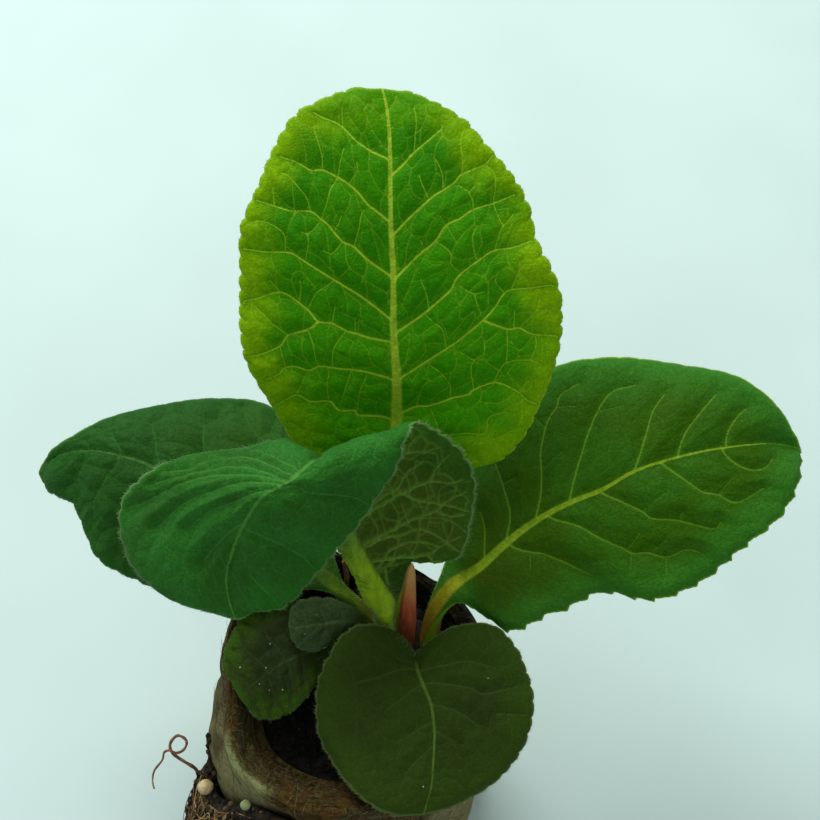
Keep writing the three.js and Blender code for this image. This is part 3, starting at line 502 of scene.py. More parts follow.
        "side": [
            [(422.9, 671.2), (442.8, 666.6), (465.7, 662), (488.7, 666.6)],
            [(425.9, 683.5), (447.4, 684.2), (470.3, 688), (485.6, 693.4), (519.3, 686.5)],
            [(429, 703.4), (442.8, 706.4), (461, 714), (478, 725.6)],
            [(497.9, 714), (528.5, 715.6)],
            [(433.6, 731), (445.8, 737), (455, 741.6)],
            [(410.6, 663.6), (396.8, 659)],
            [(412, 669.7), (381.5, 675.8), (351, 683.5)],
            [(419, 686.5), (403, 697.2), (384.6, 712.6)],
            [(429, 723.3), (412, 734), (396.8, 743)],
            [(432, 747), (421.3, 757), (406, 773.8)],
        ],
        "cross": [],
    },
}


# Growing a leaf

SIDE, CROSS, CELL = 2, 3, 4  # orders of veins after the midrib
FOLLOWED_HALVES = {SIDE: (0.21, 0.1), CROSS: (0.1, 0.075)}  # half widths at a vein's start and end
GROWN_HALVES = {
    "side": (0.26, 0.15), "fork": (0.15, 0.08), "loop": (0.12, 0.1),
    "cross": (0.12, 0.09), "spur": (0.09, 0.07), "cell": (0.075, 0.075),
}
FORK_TURNS = (-0.34, 0.3)  # stations back and ahead from a fork to the ends of its branches
SIDE_BEND = 0.22  # how much a grown side vein bends towards the tip
CROSS_SPACING = 4.2
SEARCH_GRID = (220, 200)  # rows and columns among which a pixel's place on the leaf is looked for
SMALL_TOOTH = (0.3, 0.22)  # step and depth of the small teeth on the large ones
SMOOTH_SHARE = 0.3  # how much of its teeth a nearly even margin keeps
OFF_MARGIN = 0.2  # no point of a vein comes this near the margin
OFF_LINES = 0.19  # and no other point this near a vein or the margin


class Leaf:
    """One leaf's middle surface and its veins. u runs from foot to tip and t from -1, left, to 1, right."""

    def __init__(self, name):
        self.form = LEAVES[name]
        stations = [[np.array(p, dtype=float) for p in station] for station in self.form["stations"]]
        tip = np.array(self.form["tip"], dtype=float)
        _, left, right = stations[-1]
        stations.append([tip, blend(tip, left, 0.3), blend(tip, right, 0.3)])
        self.ribs, self.lefts, self.rights = (np.array([s[k] for s in stations]) for k in range(3))
        self.last = len(stations) - 1
        self.grid = np.linspace(0, self.last, 60 * self.last)
        widths = sum(np.linalg.norm(margin - self.ribs, axis=1) for margin in (self.lefts, self.rights))
        self.foot = int(np.argmax(widths > 5))
        self.veins = []  # order, points as (u, t), half width at the start and at the end
        self.flat_scale = self.measure()

    def sheet(self, u, t):
        rib, left, right = curve(self.ribs, u), curve(self.lefts, u), curve(self.rights, u)
        width = np.linalg.norm(np.where((t < 0)[..., None], left, right) - rib, axis=-1)
        # The valley at the midrib is round near the tip
        soft = SOFT_TIP * smooth(self.last - 4, self.last - 1.5, u)
        reach = np.sqrt(t**2 + soft**2 * (1 - t**2))
        to_left, to_right = ((reach - t) / 2)[..., None], ((reach + t) / 2)[..., None]
        dome = self.form["belly"] * smooth(self.foot, self.foot + 2, u) * smooth(0, NARROW, width)
        bulge = 4 * reach * (1 - reach) * dome
        ahead = curve(self.ribs, np.minimum(u + 0.05, self.last)) - curve(self.ribs, np.maximum(u - 0.05, 0))
        across = curve(self.rights, u) - curve(self.lefts, u)
        up = unit(np.cross(across, ahead))
        swing = np.sin(u * 2.6 + np.where(t < 0, 0, 1.9))
        crinkle = self.form["ripple"] * t**4 * swing * smooth(self.foot + 1, self.foot + 2, u)
        crinkle = crinkle * smooth(0, NARROW, width)
        return rib + (left - rib) * to_left + (right - rib) * to_right + up * (bulge + crinkle)[..., None]

    def at(self, places):
        """The points of rows of (u, t)."""
        return self.sheet(places[:, 0], places[:, 1])

    def line(self, u, side):
        return self.sheet(u, np.full_like(u, side))

    def normal(self, u, t):
        step = 0.04
        across = self.sheet(u, np.minimum(t + step, 1)) - self.sheet(u, np.maximum(t - step, -1))
        low = np.maximum(u - step, 0)
        high = np.minimum(u + step, self.last)
        return unit(np.cross(across, self.sheet(high, t) - self.sheet(low, t)))

    def measure(self):
        """How long and how wide the leaf is at the stations of a fine grid, for its flat picture."""
        grid = np.linspace(0, self.last, 20 * self.last + 1)
        left, rib, right = (curve(line, grid) for line in (self.lefts, self.ribs, self.rights))
        along = (length_along(left) + length_along(rib) + length_along(right)) / 3
        return grid, along, np.linalg.norm(left - rib, axis=1), np.linalg.norm(right - rib, axis=1)

    def flat(self, u, t):
        """A flat picture of the leaf, used to join its points into triangles and to lay out its cells."""
        grid, along, left_half, right_half = self.flat_scale
        half = np.where(t < 0, np.interp(u, grid, left_half), np.interp(u, grid, right_half))
        return np.stack([t * half, np.interp(u, grid, along)], axis=-1)

    def unflat(self, points):
        """The (u, t) of points of the flat picture."""
        grid, along, left_half, right_half = self.flat_scale
        x, y = points.T
        u = np.interp(y, along, grid)
        half = np.where(x < 0, np.interp(u, grid, left_half), np.interp(u, grid, right_half))
        return np.stack([u, x / np.maximum(half, 1e-6)], axis=-1)

    def locate(self, pixels, between):
        """The (u, t) of points that the photograph shows at these pixels, on that part of the leaf."""
        rows, columns = SEARCH_GRID
        u, t = np.meshgrid(np.linspace(*between, rows), np.linspace(-0.99, 0.99, columns), indexing="ij")
        u, t = u.ravel(), t.ravel()
        seen = to_photo(self.sheet(u, t))
        _, index = nearest([(x, y, 0) for x, y in pixels], [(x, y, 0) for x, y in seen])
        return np.stack([u[index], t[index]], axis=-1)

    def follow(self, traces):
        """Adds the veins that were followed along the photograph."""
        for order, key in ((SIDE, "side"), (CROSS, "cross")):
            for pixels in traces[key]:
                path = self.locate(pixels, traces["between"])
                if order == SIDE and abs(path[0, 1]) < JOIN_REACH:
                    path = np.vstack([[path[0, 0] - 1.2 * abs(path[0, 1]), 0], path])
                self.veins.append((order, path, *FOLLOWED_HALVES[order]))

    def grow(self, stations, random):
        """Adds side veins at these stations, which fork and loop before the margin, and their cross veins."""
        for side in (-1, 1):
            tops = []
            for station in stations:
                u0 = station + random.uniform(-0.08, 0.08)
                t = np.linspace(0.01, 0.66, 6)
                bend = u0 + SIDE_BEND * t**2 + random.normal(0, 0.02, 6) * (t > 0.05)
                self.veins.append((SIDE, np.stack([bend, side * t], axis=-1), *GROWN_HALVES["side"]))
                fork = np.array([bend[-1], side * t[-1]])
                for turn in FORK_TURNS:
                    end = np.array([u0 + turn + 0.15, side * random.uniform(0.88, 0.94)])
                    knee = blend(fork, end, 0.5) + np.array([turn * 0.25, 0])
                    self.veins.append((SIDE, np.array([fork, knee, end]), *GROWN_HALVES["fork"]))
                    tops.append(knee)
            for low, high in zip(tops[1::2], tops[2::2]):
                middle = blend(low, high, 0.5) + np.array([0, side * 0.05])
                self.veins.append((CROSS, np.array([low, middle, high]), *GROWN_HALVES["loop"]))
            for low, high in zip(stations[:-1], stations[1:]):
                self.grow_cross_veins(low, high, side, random)

    def grow_cross_veins(self, low, high, side, random):
        width = np.linalg.norm(np.diff(self.sheet(np.array([low, low]), np.array([0.0, side])), axis=0))
        for step in range(1, max(int(width * 0.7 / CROSS_SPACING), 1) + 1):
            t = side * np.clip((step + random.uniform(-0.25, 0.25)) * CROSS_SPACING / width, 0.08, 0.72)
            lean = side * random.uniform(-0.04, 0.1)
            kink = blend(low, high, random.uniform(0.35, 0.65))
            knee = (kink, t + lean * 0.5 + side * 0.03)
            path = [(low + SIDE_BEND * t**2, t), knee, (high + SIDE_BEND * (t + lean) ** 2, t + lean)]
            self.veins.append((CROSS, np.array(path), *GROWN_HALVES["cross"]))
            if random.random() < 0.6:
                spur = (kink + random.uniform(-0.1, 0.1), t + side * random.uniform(0.07, 0.12))
                self.veins.append((CROSS, np.array([knee, spur]), *GROWN_HALVES["spur"]))

    def grow_cells(self, size, random):
        """Adds the finest veins, along the edges of irregular cells about size mm across."""
        grid, along, left_half, right_half = self.flat_scale
        start = np.interp(self.foot + 0.4, grid, along)
        columns = np.arange(-left_half.max() - size, right_half.max() + 2 * size, size)
        seeds = []
        for row, y in enumerate(np.arange(start, along[-1] + size, size * 0.85)):
            x = columns + (row % 2) * size / 2 + random.uniform(-0.42, 0.42, len(columns)) * size
            seeds.append(np.stack([x, y + random.uniform(-0.36, 0.36, len(columns)) * size], axis=-1))
        seeds = np.vstack(seeds)
        triangles = np.array(delaunay_2d_cdt(seeds.tolist(), [], [], 0, 1e-6, True)[2])
        centres = round_centres(*(seeds[triangles[:, k]] for k in range(3)))
        beside = {}
        for index, corners in enumerate(triangles):
            for k in range(3):
                edge = tuple(sorted((int(corners[k]), int(corners[k - 1]))))
                beside.setdefault(edge, []).append(index)
        for pair in beside.values():
            if len(pair) == 2:
                low, high = centres[pair]
                knee = blend(low, high, 0.5) + random.normal(0, 0.09 * size, 2)
                path = self.unflat(np.array([low, knee, high]))
                on_leaf = np.abs(path[:, 1]).max() < 0.94 and path[:, 0].min() > self.foot + 0.3
                if on_leaf and path[:, 0].max() < self.last - 0.1 and np.linalg.norm(high - low) < 2 * size:
                    self.veins.append((CELL, path, *GROWN_HALVES["cell"]))


def round_centres(a, b, c):
    """Centres of the circles through the corners of flat triangles."""
    b, c = b - a, c - a
    twice_area = 2 * (b[:, 0] * c[:, 1] - b[:, 1] * c[:, 0])
    twice_area = np.where(np.abs(twice_area) < 1e-9, 1e-9, twice_area)
    b_square, c_square = (b**2).sum(axis=1), (c**2).sum(axis=1)
    x = (c[:, 1] * b_square - b[:, 1] * c_square) / twice_area
    y = (b[:, 0] * c_square - c[:, 0] * b_square) / twice_area
    return a + np.stack([x, y], axis=-1)


def vein_points(leaf, order):
    """Points about VEIN_STEP apart along the leaf's veins of this order, with the half width at each."""
    places, halves = [np.zeros((0, 2))], [np.zeros(0)]
    for vein_order, path, start, end in leaf.veins:
        if vein_order == order:
            fine = curve(path, np.linspace(0, len(path) - 1, 12 * len(path)))
            fine[:, 1] = np.clip(fine[:, 1], -0.97, 0.97)
            along = length_along(leaf.at(fine))
            even = np.linspace(0, along[-1], max(int(along[-1] / VEIN_STEP), 2))
            places.append(np.stack([np.interp(even, along, fine[:, k]) for k in (0, 1)], axis=-1))
            halves.append(blend(start, end, even / max(along[-1], 1e-6)))
    return np.vstack(places), np.concatenate(halves)


def knots(distance, period, low, high, random):
    """Places along the margin with uneven steps, low to high times the period."""
    places = [0]
    while places[-1] < distance[-1] + period:
        places.append(places[-1] + period * random.uniform(low, high))
    return np.array(places)


def teeth(distance, period, depth, pointed, random):
    """How far the margin stands out at each distance along it: rounded scallops, or small pointed teeth."""
    notches = knots(distance, period, 0.75, 1.3, random)
    k = np.searchsorted(notches, distance, side="right") - 1
    phase = (distance - notches[k]) / (notches[k + 1] - notches[k])
    sizes = random.uniform(0.6, 1.2, len(notches))[k]
    if pointed:
        shape = np.where(phase < 0.78, (phase / 0.78) ** 1.8, (1 - phase) / 0.22)
    else:
        shape = np.sqrt(np.sin(np.pi * phase).clip(0, 1)) * 0.9
    return depth * sizes * (shape - 0.55)


def lobes(distance, period, depth, random):
    """Wider and uneven bulges of the margin."""
    ends = knots(distance, period, 0.5, 1.4, random)
    return np.interp(distance, ends, random.uniform(-1, 1, len(ends)) * depth)


def inside(points, ring):
    """Which flat points lie inside the ring."""
    x, y = points[:, 0, None], points[:, 1, None]
    (x0, y0), (x1, y1) = ring.T, np.roll(ring, -1, axis=0).T
    crosses = ((y0 > y) != (y1 > y)) & (x < x0 + (y - y0) * (x1 - x0) / np.where(y1 == y0, 1e-12, y1 - y0))
    return crosses.sum(axis=1) % 2 == 1


def from_veins(leaf, points, order, width=1):
    """How far points are from the veins of this order, and the half width of the vein there."""
    places, halves = vein_points(leaf, order)
    if len(places) == 0:
        return np.full(len(points), 9.0), np.full(len(points), 0.1)
    distance, at = nearest(points, leaf.at(places))
    return distance, halves[at] * width


def leaf_margin(leaf, look, random):
    """The boundary as rows of (u, t), counter-clockwise from above, and how far its sides stand out at u."""
    margins = []
    for side in (-1, 1):
        along = length_along(leaf.line(leaf.grid, side))
        even = np.linspace(0, along[-1], int(along[-1] / MARGIN_STEP))
        share = SMOOTH_SHARE if side == look["smooth_side"] else 1
        step, depth = look["tooth_step"], look["tooth"]
        out = teeth(even, step, depth * share, side == look["pointed_side"], random)
        out = out + teeth(even, step * SMALL_TOOTH[0], depth * SMALL_TOOTH[1] * share, False, random)
        out = out + lobes(even, look["lobe_step"], look["lobe"] * share, random)
        margins.append((np.interp(even, along, leaf.grid), out))
    tip_width = np.linalg.norm(np.diff(leaf.sheet(np.full(2, leaf.last), np.array([-1.0, 1.0])), axis=0))
    tip_t = np.linspace(1, -1, int(tip_width / MARGIN_STEP) + 2)[1:-1]
    foot_t = np.linspace(-1, 1, 12)[1:-1]
    (left, _), (right, _) = margins
    edge_u = np.concatenate([np.zeros_like(foot_t), right, np.full_like(tip_t, leaf.last), left[::-1]])
    edge_t = np.concatenate([foot_t, np.ones_like(right), tip_t, -np.ones_like(left)])
    return np.stack([edge_u, edge_t], axis=-1), margins


def leaf_filling(leaf, random):
    """Rows of (u, t), even but jittered, all over the blade."""
    speeds = [
        np.linalg.norm(np.gradient(leaf.line(leaf.grid, t), axis=0), axis=1)
        for t in (-1, -0.5, 0, 0.5, 1)
    ]
    travel = np.cumsum(np.max(speeds, axis=0))
    rows = np.interp(np.arange(MESH_STEP, travel[-1], MESH_STEP * 0.9), travel, leaf.grid)
    filling = []
    for side in (-1, 1):
        width = np.linalg.norm(leaf.line(rows, side) - leaf.line(rows, 0), axis=1)
        for u, w in zip(rows, width):
            count = max(int(w / MESH_STEP), 2)
            t = (np.arange(count) + random.uniform(0.2, 0.8) + random.uniform(-0.22, 0.22, count)) / count
            t = t[(t > 0.05) & (t < 0.992)]
            jitter = random.uniform(-0.2, 0.2, len(t)) * MESH_STEP * leaf.last / travel[-1]
            filling.append(np.stack([np.full_like(t, u) + jitter, side * t], axis=-1))
    filling = np.vstack(filling)
    return filling[(filling[:, 0] > 0.01) & (filling[:, 0] < leaf.last - 0.01)]


def inner_places(leaf, edge, random):
    """The points of the veins and the filling, with fewer where they would crowd a vein or the margin."""
    rib_length = length_along(leaf.line(leaf.grid, 0))
    rib_u = np.interp(np.arange(VEIN_STEP, rib_length[-1], VEIN_STEP), rib_length, leaf.grid)
    rib = np.stack([rib_u, rib_u * 0], axis=-1)
    lines = np.vstack([vein_points(leaf, order)[0] for order in (SIDE, CROSS, CELL)] + [rib])
    filling = leaf_filling(leaf, random)
    edge_points = leaf.at(edge)
    lines = lines[nearest(leaf.at(lines), edge_points)[0] > OFF_MARGIN]
    clear = nearest(leaf.at(filling), np.vstack([edge_points, leaf.at(lines)]))[0] > OFF_LINES
    return np.vstack([lines, filling[clear]])


def leaf_triangles(leaf, edge, inner):
    """The places that triangles use, the triangles, and the boundary's ring of places."""
    places = np.vstack([edge, inner])
    count = len(edge)
    flat = leaf.flat(*places.T)
    made = delaunay_2d_cdt(flat.tolist(), [], [list(range(count))], 1, 1e-6, True)
    source = np.array([ids[0] for ids in made[3]])
    triangles = source[np.array(made[2])]
    outside = (triangles < count).all(axis=1)
    outside[outside] = ~inside(flat[triangles[outside]].mean(axis=1), flat[:count])
    triangles = triangles[~outside]
    kept = np.unique(triangles)
    renumber = np.full(len(places), -1)
    renumber[kept] = np.arange(len(kept))
    ring = renumber[:count]
    return places[kept], renumber[triangles], ring[ring >= 0]


def bell(distance, width):
    return np.exp(-((distance / width) ** 2))


def dome(distance, width):
    return np.sqrt(np.clip(1 - (distance / width) ** 2, 0, 1))


def leaf_skins(leaf, look, u, t, points, far):
    """How far the upper and the lower skin lie from the middle surface. far holds distances in mm."""
    (to_rib, rib_half), (to_side, side_half), (to_net, net_half), (to_cell, cell_half), to_edge = far
    on_blade = smooth(leaf.foot - 0.5, leaf.foot + 1.2, u)
    tip_fade = smooth(0, 3, to_edge)
    inward = smooth(0, 2.2, to_edge) * on_blade
    to_large = np.minimum(to_side, to_rib * 0.8)
    puff = look["puff"] * (1 - bell(to_large, 2.4)) * inward
    quilt = look["quilt"] * (1 - bell(np.minimum(to_net, to_large), 1.1)) * inward
    pebble = look["pebble"] * (1 - bell(np.minimum(to_cell, to_net), 0.7)) * smooth(0, 1, to_edge) * on_blade
    lumps = waves(points, 9, look["seed"]) * 0.3 * inward
    relief = puff + quilt + pebble - look["puff"] * 0.5 * inward + lumps

    # Veins are grooves above and ridges below, and the midrib a keel below
    groove = look["groove"] * (bell(to_side, side_half * 1.6) + 0.5 * bell(to_net, net_half * 1.8))
    groove = on_blade * groove * smooth(0, 0.8, to_edge)
    ridge = 0.42 * dome(to_side, side_half * 2.2) + 0.16 * bell(to_net, net_half * 2)
    ridge = on_blade * (ridge + 0.1 * bell(to_cell, cell_half * 2))
    foot_depth, stalk_half = leaf.form["stalk"]
    depth = blend(foot_depth, TIP_DEPTH, smooth(0.1, 1, u / leaf.last))
    keel = depth * dome(to_rib, stalk_half) * blend(1, tip_fade, on_blade)
    stalk_round = np.sqrt(np.clip(1 - t**2, 0, 1))
    channel = 0.3 * bell(to_rib, rib_half * 0.55)
    blade_top = blend(MARGIN_BLADE, BLADE, smooth(0, 1.2, to_edge)) / 2
    rib_top = look["rib_rise"] * dome(to_rib, rib_half) - channel * 0.6
    above = blend(0.1 + 0.8 * stalk_round - channel, blade_top - groove + rib_top * tip_fade, on_blade)
    below = blend(0.1 + depth * stalk_round, blade_top + np.maximum(ridge, keel), on_blade)
    return relief + above, relief - below


def two_skins(triangles, ring, count):
    """Triangles above, the same below among the next count points, and a wall between them round the ring."""
    after = np.roll(ring, -1)
    wall = np.vstack([
        np.stack([ring, ring + count, after + count], axis=-1),
        np.stack([ring, after + count, after], axis=-1),
    ])
    return np.vstack([triangles, triangles[:, ::-1] + count, wall])


def leaf_piece(name, leaf, look, materials):
    """Builds the leaf as one closed mesh: the same triangles above and below, joined round the margin."""
    random = np.random.default_rng(SEED + look["seed"])
    edge, margins = leaf_margin(leaf, look, random)
    places, triangles, ring = leaf_triangles(leaf, edge, inner_places(leaf, edge, random))
    u, t = places.T
    points = leaf.sheet(u, t)
    to_rib, rib_at = nearest(points, leaf.line(leaf.grid, 0))
    rib_half = np.interp(leaf.grid / leaf.last, *look["rib"])[rib_at]
    by_side = from_veins(leaf, points, SIDE, look["vein_width"])
    by_net = from_veins(leaf, points, CROSS, look["vein_width"])
    by_cell = from_veins(leaf, points, CELL)
    to_edge, _ = nearest(points, points[ring])
    far = ((to_rib, rib_half), by_side, by_net, by_cell, to_edge)
    above, below = leaf_skins(leaf, look, u, t, points, far)

    # Teeth push the margin out, and less and less inward from it
    left_out, right_out = (np.interp(u, *margin) for margin in margins)
    on_blade = smooth(leaf.foot - 0.5, leaf.foot + 1.2, u)
    out = np.where(t < 0, left_out, right_out) * on_blade * smooth(0.86, 1, np.abs(t))
    rib_here = leaf.sheet(u, t * 0)
    points = points + unit(points - rib_here) * out[:, None]

    normal = leaf.normal(u, t)
    top = points + normal * above[:, None]
    bottom = points + normal * below[:, None]
    faces = two_skins(triangles, ring, len(u))
    slots = np.zeros(len(faces))
    slots[len(triangles):2 * len(triangles)] = 1
    attributes = {
        "rib": np.minimum(to_rib / rib_half, 9),
        "side": np.minimum(by_side[0] / by_side[1], 12),
        "net": np.minimum(by_net[0] / by_net[1], 12),
        "cell": np.minimum(by_cell[0] / by_cell[1], 12),
        "edge": np.minimum(to_edge, 20),
        "along": u / leaf.last,
    }
    attributes = {key: np.tile(values, 2) for key, values in attributes.items()}
    piece = make_object(name + "_grown", np.vstack([top, bottom]), faces, materials, slots, attributes)
    place(piece, frame_slot(name), name)

    # Down on the margin and the stalk
    outward = unit(points - rib_here)
    margin = ring[(to_rib[ring] > 3) & (u[ring] > leaf.foot)]
    stalk = np.flatnonzero((u < leaf.foot + 0.3) & (u > 0.8))
    roots = [random.choice(margin, look["margin_hairs"]), random.choice(stalk, look["stalk_hairs"])]
    roots = np.concatenate(roots)
    on_top = (random.random(len(roots)) < 0.5)[:, None]
    bases = np.where(on_top, top[roots], bottom[roots])
    leans = np.where(on_top, normal[roots], -normal[roots])
    on_margin = (np.arange(len(roots)) < look["margin_hairs"])[:, None]
    leans = np.where(on_margin, outward[roots] + leans * 0.4, leans + outward[roots] * 0.8)
    hairs(name + "_down", bases, leans, look["hair"], random, frame_slot(name))


def hairs(name, bases, leans, length, random, slot):
    """Short fine hairs, each a thin closed pyramid that stands on its base."""
    count = len(bases)
    leans = unit(leans + random.normal(0, 0.35, (count, 3)))
    tips = bases + leans * (length * random.uniform(0.4, 1.2, (count, 1)))
    along = unit(tips - bases)
    side = unit(np.cross(along, unit(random.normal(size=(count, 3)))))
    other = np.cross(along, side)
    corners = [
        bases - along * 0.05 + HAIR * (side * math.cos(a) + other * math.sin(a))
        for a in (0, 2 * math.pi / 3, 4 * math.pi / 3)
    ]
    points = np.stack([*corners, tips], axis=1).reshape(-1, 3)
    pyramid = np.array([(0, 2, 1), (0, 1, 3), (1, 2, 3), (2, 0, 3)])
    faces = (pyramid[None] + 4 * np.arange(count)[:, None, None]).reshape(-1, 3)
    piece = make_object(name, points, faces, [hair_material(name)])
    place(piece, slot)


def frame_slot(node):
    return next(part["material_slot"] for part in frame["record"]["subparts"] if part["node"] == node)


# Materials

MIX_SHARE, MIX_FIRST, MIX_SECOND, MIX_COLOUR = 0, 6, 7, 2  # the colour sockets of a mixing node


class Graph:
    """Small helper for building node materials. Inputs are numbers, colours or other nodes' outputs."""

    def __init__(self, name):
        self.material = bpy.data.materials.new(name)
        self.material.use_nodes = True
        self.tree = self.material.node_tree
        self.tree.nodes.clear()

    def node(self, kind, inputs, output=0, **settings):
        """Adds a node and gives one of its outputs."""
        made = self.tree.nodes.new("ShaderNode" + kind)
        for key, value in settings.items():
            setattr(made, key, value)
        for key, value in inputs.items():
            socket = made.inputs[key]
            if isinstance(value, bpy.types.NodeSocket):
                self.tree.links.new(value, socket)
            elif socket.type == "RGBA":
                socket.default_value = (*value, 1)
            else:
                socket.default_value = value
        return made.outputs[output]

    def attribute(self, name):
        return self.node("Attribute", {}, "Fac", attribute_name=name)

    def vector(self, operation, a, b):
        return self.node("VectorMath", {0: a, 1: b}, operation=operation)

    def place(self):
        """Place on the object, in mm."""
        return self.vector("MULTIPLY", self.node("TexCoord", {}, "Object"), (1000, 1000, 1000))

    def noise(self, size, detail=3, rough=0.55, vector=None, stretch=None):
        vector = vector or self.place()
        if stretch:
            vector = self.vector("MULTIPLY", vector, stretch)
        inputs = {"Vector": vector, "Scale": 1 / size, "Detail": detail, "Roughness": rough}
        return self.node("TexNoise", inputs, "Fac")

    def cells(self, size, feature, vector=None):
        inputs = {"Vector": vector or self.place(), "Scale": 1 / size}
        return self.node("TexVoronoi", inputs, "Distance", feature=feature)

    def between(self, value, low, high, start=0.0, end=1.0):
        """Start below low, end above high, and smooth between them."""
        inputs = {"Value": value, "From Min": low, "From Max": high, "To Min": start, "To Max": end}
        return self.node("MapRange", inputs, "Result", interpolation_type="SMOOTHSTEP")

    def math(self, operation, a, b):
        return self.node("Math", {0: a, 1: b}, operation=operation)

    def times(self, a, b):
        return self.math("MULTIPLY", a, b)

    def plus(self, a, b):
        return self.math("ADD", a, b)

    def mix(self, share, a, b):
        inputs = {MIX_SHARE: share, MIX_FIRST: a, MIX_SECOND: b}
        return self.node("Mix", inputs, MIX_COLOUR, data_type="RGBA")

    def bump(self, height, strength, distance):
        return self.node("Bump", {"Height": height, "Strength": strength, "Distance": distance * MM})

    def surface(self, colour, rough, gloss=0.5, normal=None, sheen=None):
        inputs = {"Base Color": colour, "Roughness": rough, "Specular IOR Level": gloss, **(sheen or {})}
        if normal:
            inputs["Normal"] = normal
        return self.node("BsdfPrincipled", inputs)

    def finish(self, surface, through=None, share=0.0):
        """Ends the material, with this share of light coming through in the colour and normal given."""
        if through:
            glow = self.node("BsdfTranslucent", through)
            surface = self.node("MixShader", {0: share, 1: surface, 2: glow})
        output = self.tree.nodes.new("ShaderNodeOutputMaterial")
        self.tree.links.new(surface, output.inputs["Surface"])
        return self.material


def srgb(red, green, blue):
    """Linear colour from the 0 to 255 values of a screen colour."""
    parts = [c / 255 for c in (red, green, blue)]
    return tuple(p / 12.92 if p <= 0.04045 else ((p + 0.055) / 1.055) ** 2.4 for p in parts)


HAIR_COLOURS = (srgb(172, 194, 128), srgb(150, 170, 120))


def leaf_material(name, look):
    """look gives the colours; the veins come from how far each point is from them."""
    g = Graph(name)
    names = ("rib", "side", "net", "cell", "edge", "along")
    rib, side, net, cell, edge, along = (g.attribute(key) for key in names)
    place = g.place()
    wide = g.noise(11, 2)
    fine = g.noise(0.8, 3, 0.65)
    flesh = g.mix(g.between(wide, 0.35, 0.65), look["dark"], look["light"])
    flesh = g.mix(g.between(along, look["base_from"], look["base_to"], 1, 0), flesh, look["base"])

    # The margin is lighter, most of all between the veins
    rim = g.plus(edge, g.times(g.math("SUBTRACT", wide, 0.5), look["rim_wander"]))
    share = g.between(rim, look["rim_reach"], 0, 0, look["rim_share"])
    share = g.times(share, g.between(side, 1, 9, 0.35, 1))
    share = g.times(share, g.between(along, look["rim_end"] - 0.14, look["rim_end"], 1, 0.15))
    flesh = g.mix(share, flesh, look["rim"])

    # Fine mottling and the smallest veins, a little bent
    bent = g.node("TexNoise", {"Vector": place, "Scale": 0.9, "Detail": 2.0}, "Color")
    bent = g.vector("ADD", place, g.vector("MULTIPLY", bent, (0.9, 0.9, 0.9)))
    cells = g.cells(0.55, "F1", bent)
    mottle = g.between(g.plus(cells, g.times(fine, 0.8)), 0.5, 1.1)
    flesh = g.mix(g.times(mottle, look["mottle"]), flesh, look["mottle_colour"])
    mesh = g.between(g.cells(1.2, "DISTANCE_TO_EDGE", bent), 0.0, 0.07, 1, 0)
    tiny = g.times(mesh, g.between(g.noise(4), 0.4, 0.65, 0.2 * look["tiny"], look["tiny"]))
    flesh = g.mix(tiny, flesh, look["vein"])

    # The finest net, a halo round the side veins, the cross veins and the side veins
    spread = look["spread"]
    finest = g.between(cell, 0.5, 2.2 * spread, look["cell_share"], 0)
    finest = g.times(finest, g.between(g.noise(7, 2), 0.35, 0.62, 0.45, 1))
    halo = g.between(side, 1, 7, look["halo"], 0)
    crossing = g.between(net, 0.6, 1.9 * spread, look["net_share"], 0)
    rising = g.between(side, 0.6, 1.7 * spread, look["side_share"], 0)
    for share in (finest, halo, crossing, rising):
        flesh = g.mix(share, flesh, look["vein"])

    stem = g.mix(g.between(along, look["stem_from"], look["stem_to"]), look["stem"], look["midrib"])
    stem = g.mix(g.between(along, 0, look["foot_to"]), look["foot"], stem)
    streaks = g.noise(1.2, 3, 0.6, place, (1, 0.3, 0.3))
    stem = g.mix(g.between(streaks, 0.35, 0.7, 0, 0.35), stem, look["dark"])
    flesh = g.mix(g.between(rib, 0.7, 1.3, look["rib_share"], 0), flesh, stem)
    flesh = g.mix(g.between(edge, 0.15, 0.45, look["hem_share"], 0), flesh, look["hem"])
    relief = g.math("SUBTRACT", g.plus(g.times(cells, 0.7), fine), g.times(mesh, 0.5))
    normal = g.bump(relief, look["bump"], 0.2)
    rough = g.between(fine, 0.3, 0.7, look["rough"] - 0.06, look["rough"] + 0.06)
    tints = {
        "Specular Tint": look["gloss_tint"],
        "Sheen Weight": look["sheen"],
        "Sheen Roughness": 0.45,
        "Sheen Tint": look["gloss_tint"],
    }
    glow = g.mix(look["glow_tint"], flesh, look["glow"])
    surface = g.surface(flesh, rough, look["gloss"], normal, tints)
    return g.finish(surface, {"Color": glow, "Normal": normal}, look["through"])


def hair_material(name):
    g = Graph(name)
    colour = g.mix(g.between(g.noise(3), 0.4, 0.6), *HAIR_COLOURS)
    return g.finish(g.surface(HAIR_COLOURS[0], 0.6, 0.2), {"Color": colour}, 0.5)


def soil_material(name, dark, light):
    g = Graph(name)
    grain = g.noise(1.2, 4, 0.7)
    colour = g.mix(g.between(grain, 0.35, 0.7), dark, light)
    speck = g.between(g.cells(1.1, "F1"), 0.1, 0.16, 1, 0)
    colour = g.mix(g.times(speck, g.between(g.noise(3), 0.5, 0.6)), colour, srgb(104, 96, 88))
    return g.finish(g.surface(colour, 0.9, 0.15, g.bump(grain, 0.8, 0.5)))


